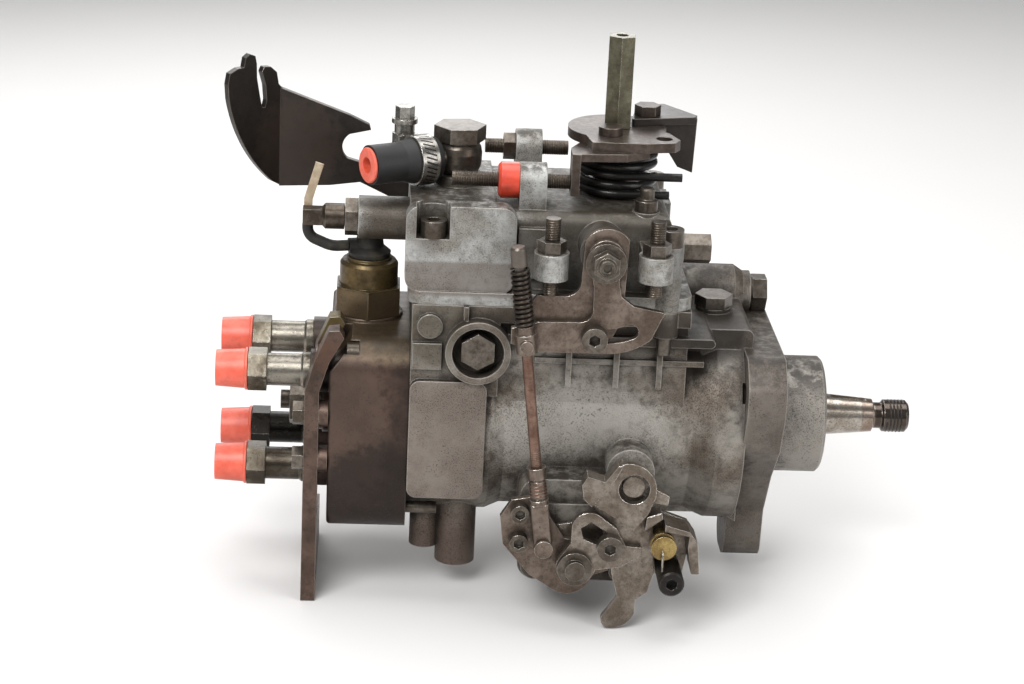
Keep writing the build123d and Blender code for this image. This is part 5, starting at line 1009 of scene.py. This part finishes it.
@dataclass
class Linkage:
    """Idle lever, cold-start levers and the rod between them."""

    bench: Bench
    foot: Point = (-98.8, -68.5, -34.8)
    eye: Point = (-109.7, -68.5, 52.2)
    rod_length: float = 128.2
    spring_above_eye: float = 8.1
    spring_below_top: float = 8.9
    spring_radius: float = 3.35
    spring_wire: float = 0.72
    spring_turns: float = 12.0
    spring_sides: int = 8
    spring_steps: int = 20
    threads: tuple[RodThread, ...] = (RodThread(34.8, 2.2, 7.0, 0.8, 0.14),
                                      RodThread(21.4, 3.4, 7.0, 1.4, 0.3))
    wire_radius: float = 0.45
    wire_sides: int = 10
    wire_path: tuple[Point, ...] = (
        (-50.4, -75.2, -33.0), (-50.4, -77.2, -33.0), (-50.4, -78.3, -33.5), (-50.4, -78.8, -34.7),
        (-50.4, -79.0, -37.5), (-50.2, -79.2, -41.0))
    stud: Point = (-79.2, -70.0, 85.0)
    stud_outline: tuple[tuple[float, float], ...] = (
        (0.0, 0.15), (1.7, 0.15), (1.7, 1.3), (2.2, 1.6), (3.0, 1.6), (3.4, 1.2), (3.4, -0.3),
        (0.0, -0.3))

    def build(self) -> None:
        """Dress the levers, then make the rod's spring and threads, the stop's wire and the stud."""
        self.bench.dress(LEVER, "idle_lever", "idle_fan", "link_lever", "rod_fittings")
        self.bench.dress(COLD, "cold_lever", "clamp_plate", "cold_base", "cold_shaft")
        self.bench.dress(BOLT, "idle_fasteners", "lever_screws", "link_pivot")
        self.bench.dress(ROD, "link_rod")
        self.bench.dress(BRASS, "brass_stop")
        self.bench.dress(BLACKENED, "stop_pin")
        self.rod_spring()
        self.rod_thread()
        self.stop_wire()
        self.stud_end()

    def axis(self) -> tuple[Vector, Vector, float]:
        """The rod's foot, its unit direction, and the distance to the eye."""
        foot = mm(*self.foot)
        span = mm(*self.eye) - foot
        return foot, span.normalized(), span.length

    def rod_spring(self) -> None:
        """Wind the spring above the swivel."""
        foot, up, reach = self.axis()
        low = reach + self.spring_above_eye * MM
        high = (self.rod_length - self.spring_below_top) * MM
        bm = bmesh.new()
        add_coil(bm, foot + up * low, up, self.spring_radius * MM, self.spring_wire * MM,
                 self.spring_turns, high - low, across(up), self.spring_sides, self.spring_steps)
        self.bench.piece("link_coil", bm, LINK_SPRING, "rod", "spring_steel",
                         stands_for=("link_spring",))

    def rod_thread(self) -> None:
        """Cut the thread above the adjuster's nut, and the adjuster's own under it."""
        foot, up, _reach = self.axis()
        bm = bmesh.new()
        for run in self.threads:
            add_thread(bm, foot + up * (run.start * MM), up, run.radius * MM, run.length * MM,
                       run.pitch * MM, run.depth * MM)
        self.bench.piece("rod_thread", bm, ROD, "rod", "lever_steel")

    def stop_wire(self) -> None:
        """Bend the thin wire that hooks out of the brass stop."""
        bm = bmesh.new()
        add_tube(bm, [mm(*point) for point in self.wire_path], self.wire_radius * MM,
                 self.wire_sides)
        self.bench.piece("stop_wire", bm, SHAFT, "housing", "brass")

    def stud_end(self) -> None:
        """Turn the hollow end of the idle lever's stud, which stands out of its nut."""
        bm = bmesh.new()
        add_lathe(bm, mm(*self.stud), Vector((0, -1, 0)),
                  [(radius * MM, height * MM) for radius, height in self.stud_outline])
        self.bench.piece("stud_end", bm, BOLT, "idle", "lever_steel")


@dataclass(frozen=True)
class ThreadRun:
    """One threaded stretch of an adjusting screw, in millimetres."""

    name: str
    start: Point
    axis: Point
    radius: float
    length: float
    pitch: float = 1.0
    depth: float = 0.16


@dataclass
class Fasteners:
    """Screws, nuts and plugs."""

    bench: Bench
    runs: tuple[ThreadRun, ...] = (
        ThreadRun("front_stop_thread", (-140.2, -25.0, 107.3), (1, 0, 0), 3.0, 27.0),
        ThreadRun("front_stop_tip", (-101.8, -25.0, 107.3), (1, 0, 0), 3.0, 9.0),
        ThreadRun("rear_stop_thread", (-125.6, 15.0, 110.8), (1, 0, 0), 3.0, 7.6),
        ThreadRun("rear_stop_tip", (-101.8, 15.0, 110.8), (1, 0, 0), 3.0, 10.6),
        ThreadRun("idle_stop_top_1", (-100.6, -58.5, 92.7), (0, 0, 1), 3.0, 8.3),
        ThreadRun("idle_stop_foot_1", (-100.6, -58.5, 70.2), (0, 0, 1), 3.0, 6.3),
        ThreadRun("idle_stop_top_2", (-58.7, -58.5, 92.7), (0, 0, 1), 3.0, 8.3),
        ThreadRun("idle_stop_foot_2", (-58.7, -58.5, 70.2), (0, 0, 1), 3.0, 6.3),
    )

    def build(self) -> None:
        """Dress the fasteners and cut the visible threads."""
        self.bench.dress(BOLT, "casing_screws", "lock_nuts", "bracket_bolts", "pivot_bolts", "hex_plugs")
        self.bench.dress(SCREW, "adjusting_screws")
        self.bench.dress(COLLAR, "seal_collar")
        for run in self.runs:
            bm = bmesh.new()
            add_thread(bm, mm(*run.start), Vector(run.axis), run.radius * MM, run.length * MM,
                       run.pitch * MM, run.depth * MM)
            self.bench.piece(run.name, bm, SCREW, "housing", "fastener_steel")


@dataclass
class Brackets:
    """The rear support bracket and the cable bracket."""

    bench: Bench

    def build(self) -> None:
        """Dress the brackets."""
        self.bench.dress(SUPPORT, "rear_bracket")
        self.bench.dress(FIN, "fin_bracket")


@dataclass(frozen=True)
class Lamp:
    """A soft rectangular lamp: place in millimetres, sides in metres, power in watts."""

    name: str
    place: Point
    width: float
    height: float
    power: float


@dataclass
class Studio:
    """Pale floor and backdrop, soft lamps and the camera.

    The eye, the floor point and the lamps' aim are in millimetres; the backdrop's
    measures are in metres.
    """

    tilt: float = math.radians(19.3295)
    swing: float = math.radians(2.4519)
    lean: float = math.radians(2.6195)
    eye: Point = (-172.74, -1043.97, 392.77)
    lens: float = 91.406
    sensor: float = 36.0
    floor_point: Point = (-195.0, 0.0, -75.0)
    up: Point = (-0.0192, 0.0, 0.99982)
    front: float = 3.0
    depth: float = 1.6
    bend: float = 0.5
    bend_steps: int = 12
    wall: float = 2.5
    half_width: float = 3.0
    aim: Point = (-100.0, 0.0, 30.0)
    air: Colour = (0.95, 0.97, 1.0, 1.0)
    air_strength: float = 0.3
    lamps: tuple[Lamp, ...] = (
        Lamp("key_lamp", (-620, -900, 980), 0.75, 0.75, 20.0),
        Lamp("fill_lamp", (820, -760, 460), 0.8, 0.8, 6.5),
        Lamp("top_lamp", (-60, 120, 1200), 1.1, 0.9, 12.0),
        Lamp("rim_lamp", (-300, 900, 620), 0.9, 0.6, 6.0),
    )

    def build(self) -> None:
        """Set up the floor, the lamps, the world and the camera."""
        self.backdrop()
        for lamp in self.lamps:
            self.hang(lamp)
        self.world()
        self.camera()
        bpy.context.scene.view_settings.view_transform = "Standard"

    def backdrop(self) -> None:
        """Lay a pale sheet that turns up behind the object."""
        up = Vector(self.up).normalized()
        right = Vector((1, 0, 0))
        right = (right - up * right.dot(up)).normalized()
        back = up.cross(right)
        origin = mm(*self.floor_point)
        bm = bmesh.new()
        outline = [origin - back * self.front, origin + back * self.depth]
        centre = origin + back * self.depth + up * self.bend
        for index in range(1, self.bend_steps + 1):
            angle = math.radians(90 * index / self.bend_steps)
            outline.append(centre + back * (self.bend * math.sin(angle))
                           - up * (self.bend * math.cos(angle)))
        outline.append(outline[-1] + up * self.wall)
        verts = [bm.verts.new(point - right * self.half_width) for point in outline]
        edges = [bm.edges.new(pair) for pair in zip(verts, verts[1:])]
        sweep = bmesh.ops.extrude_edge_only(bm, edges=edges)
        moved = [item for item in sweep["geom"] if isinstance(item, bmesh.types.BMVert)]
        bmesh.ops.translate(bm, vec=right * (2 * self.half_width), verts=moved)
        mesh = bpy.data.meshes.new("backdrop")
        bm.to_mesh(mesh)
        bm.free()
        mesh.shade_smooth()
        mesh.materials.append(PAPER.build())
        sheet = bpy.data.objects.new("backdrop", mesh)
        bpy.context.scene.collection.objects.link(sheet)

    def hang(self, lamp: Lamp) -> None:
        """Hang a lamp so that it faces the object.

        Args:
            lamp: the lamp.
        """
        data = bpy.data.lights.new(lamp.name, "AREA")
        data.shape = "RECTANGLE"
        data.size = lamp.width
        data.size_y = lamp.height
        data.energy = lamp.power
        made = bpy.data.objects.new(lamp.name, data)
        made.location = mm(*lamp.place)
        toward = mm(*self.aim) - made.location
        made.rotation_euler = toward.to_track_quat("-Z", "Y").to_euler()
        bpy.context.scene.collection.objects.link(made)

    def world(self) -> None:
        """Give the surroundings an even pale light."""
        world = bpy.data.worlds.new("soft_surroundings")
        world.use_nodes = True
        background = world.node_tree.nodes["Background"]
        background.inputs["Color"].default_value = self.air
        background.inputs["Strength"].default_value = self.air_strength
        bpy.context.scene.world = world

    def camera(self) -> None:
        """Place the camera."""
        tilt = Matrix(((1, 0, 0), (0, -math.sin(self.tilt), -math.cos(self.tilt)),
                       (0, math.cos(self.tilt), -math.sin(self.tilt))))
        view = tilt @ Matrix.Rotation(self.swing, 3, "Z") @ Matrix.Rotation(self.lean, 3, "Y")
        turned = Matrix((view[0], -view[1], -view[2])).transposed().to_4x4()
        data = bpy.data.cameras.new("camera")
        data.lens = self.lens
        data.sensor_width = self.sensor
        data.clip_start = 0.01
        data.clip_end = 50.0
        camera = bpy.data.objects.new("camera", data)
        camera.matrix_world = Matrix.Translation(mm(*self.eye)) @ turned
        bpy.context.scene.collection.objects.link(camera)
        bpy.context.scene.camera = camera


def main() -> None:
    """Build the pump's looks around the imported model."""
    logging.basicConfig(level=logging.INFO, format="%(name)s: %(message)s")
    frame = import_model()
    bench = Bench(frame)
    assemblies = (CastBody(bench), DriveTrain(bench), FuelLines(bench), StopSolenoid(bench),
                  ThrottleGear(bench), Linkage(bench), Fasteners(bench), Brackets(bench))
    for assembly in assemblies:
        assembly.build()
    bare = bench.left_bare()
    if bare:
        LOG.warning("no finish on %s", ", ".join(bare))
    Studio().build()


if __name__ == "__main__":
    main()
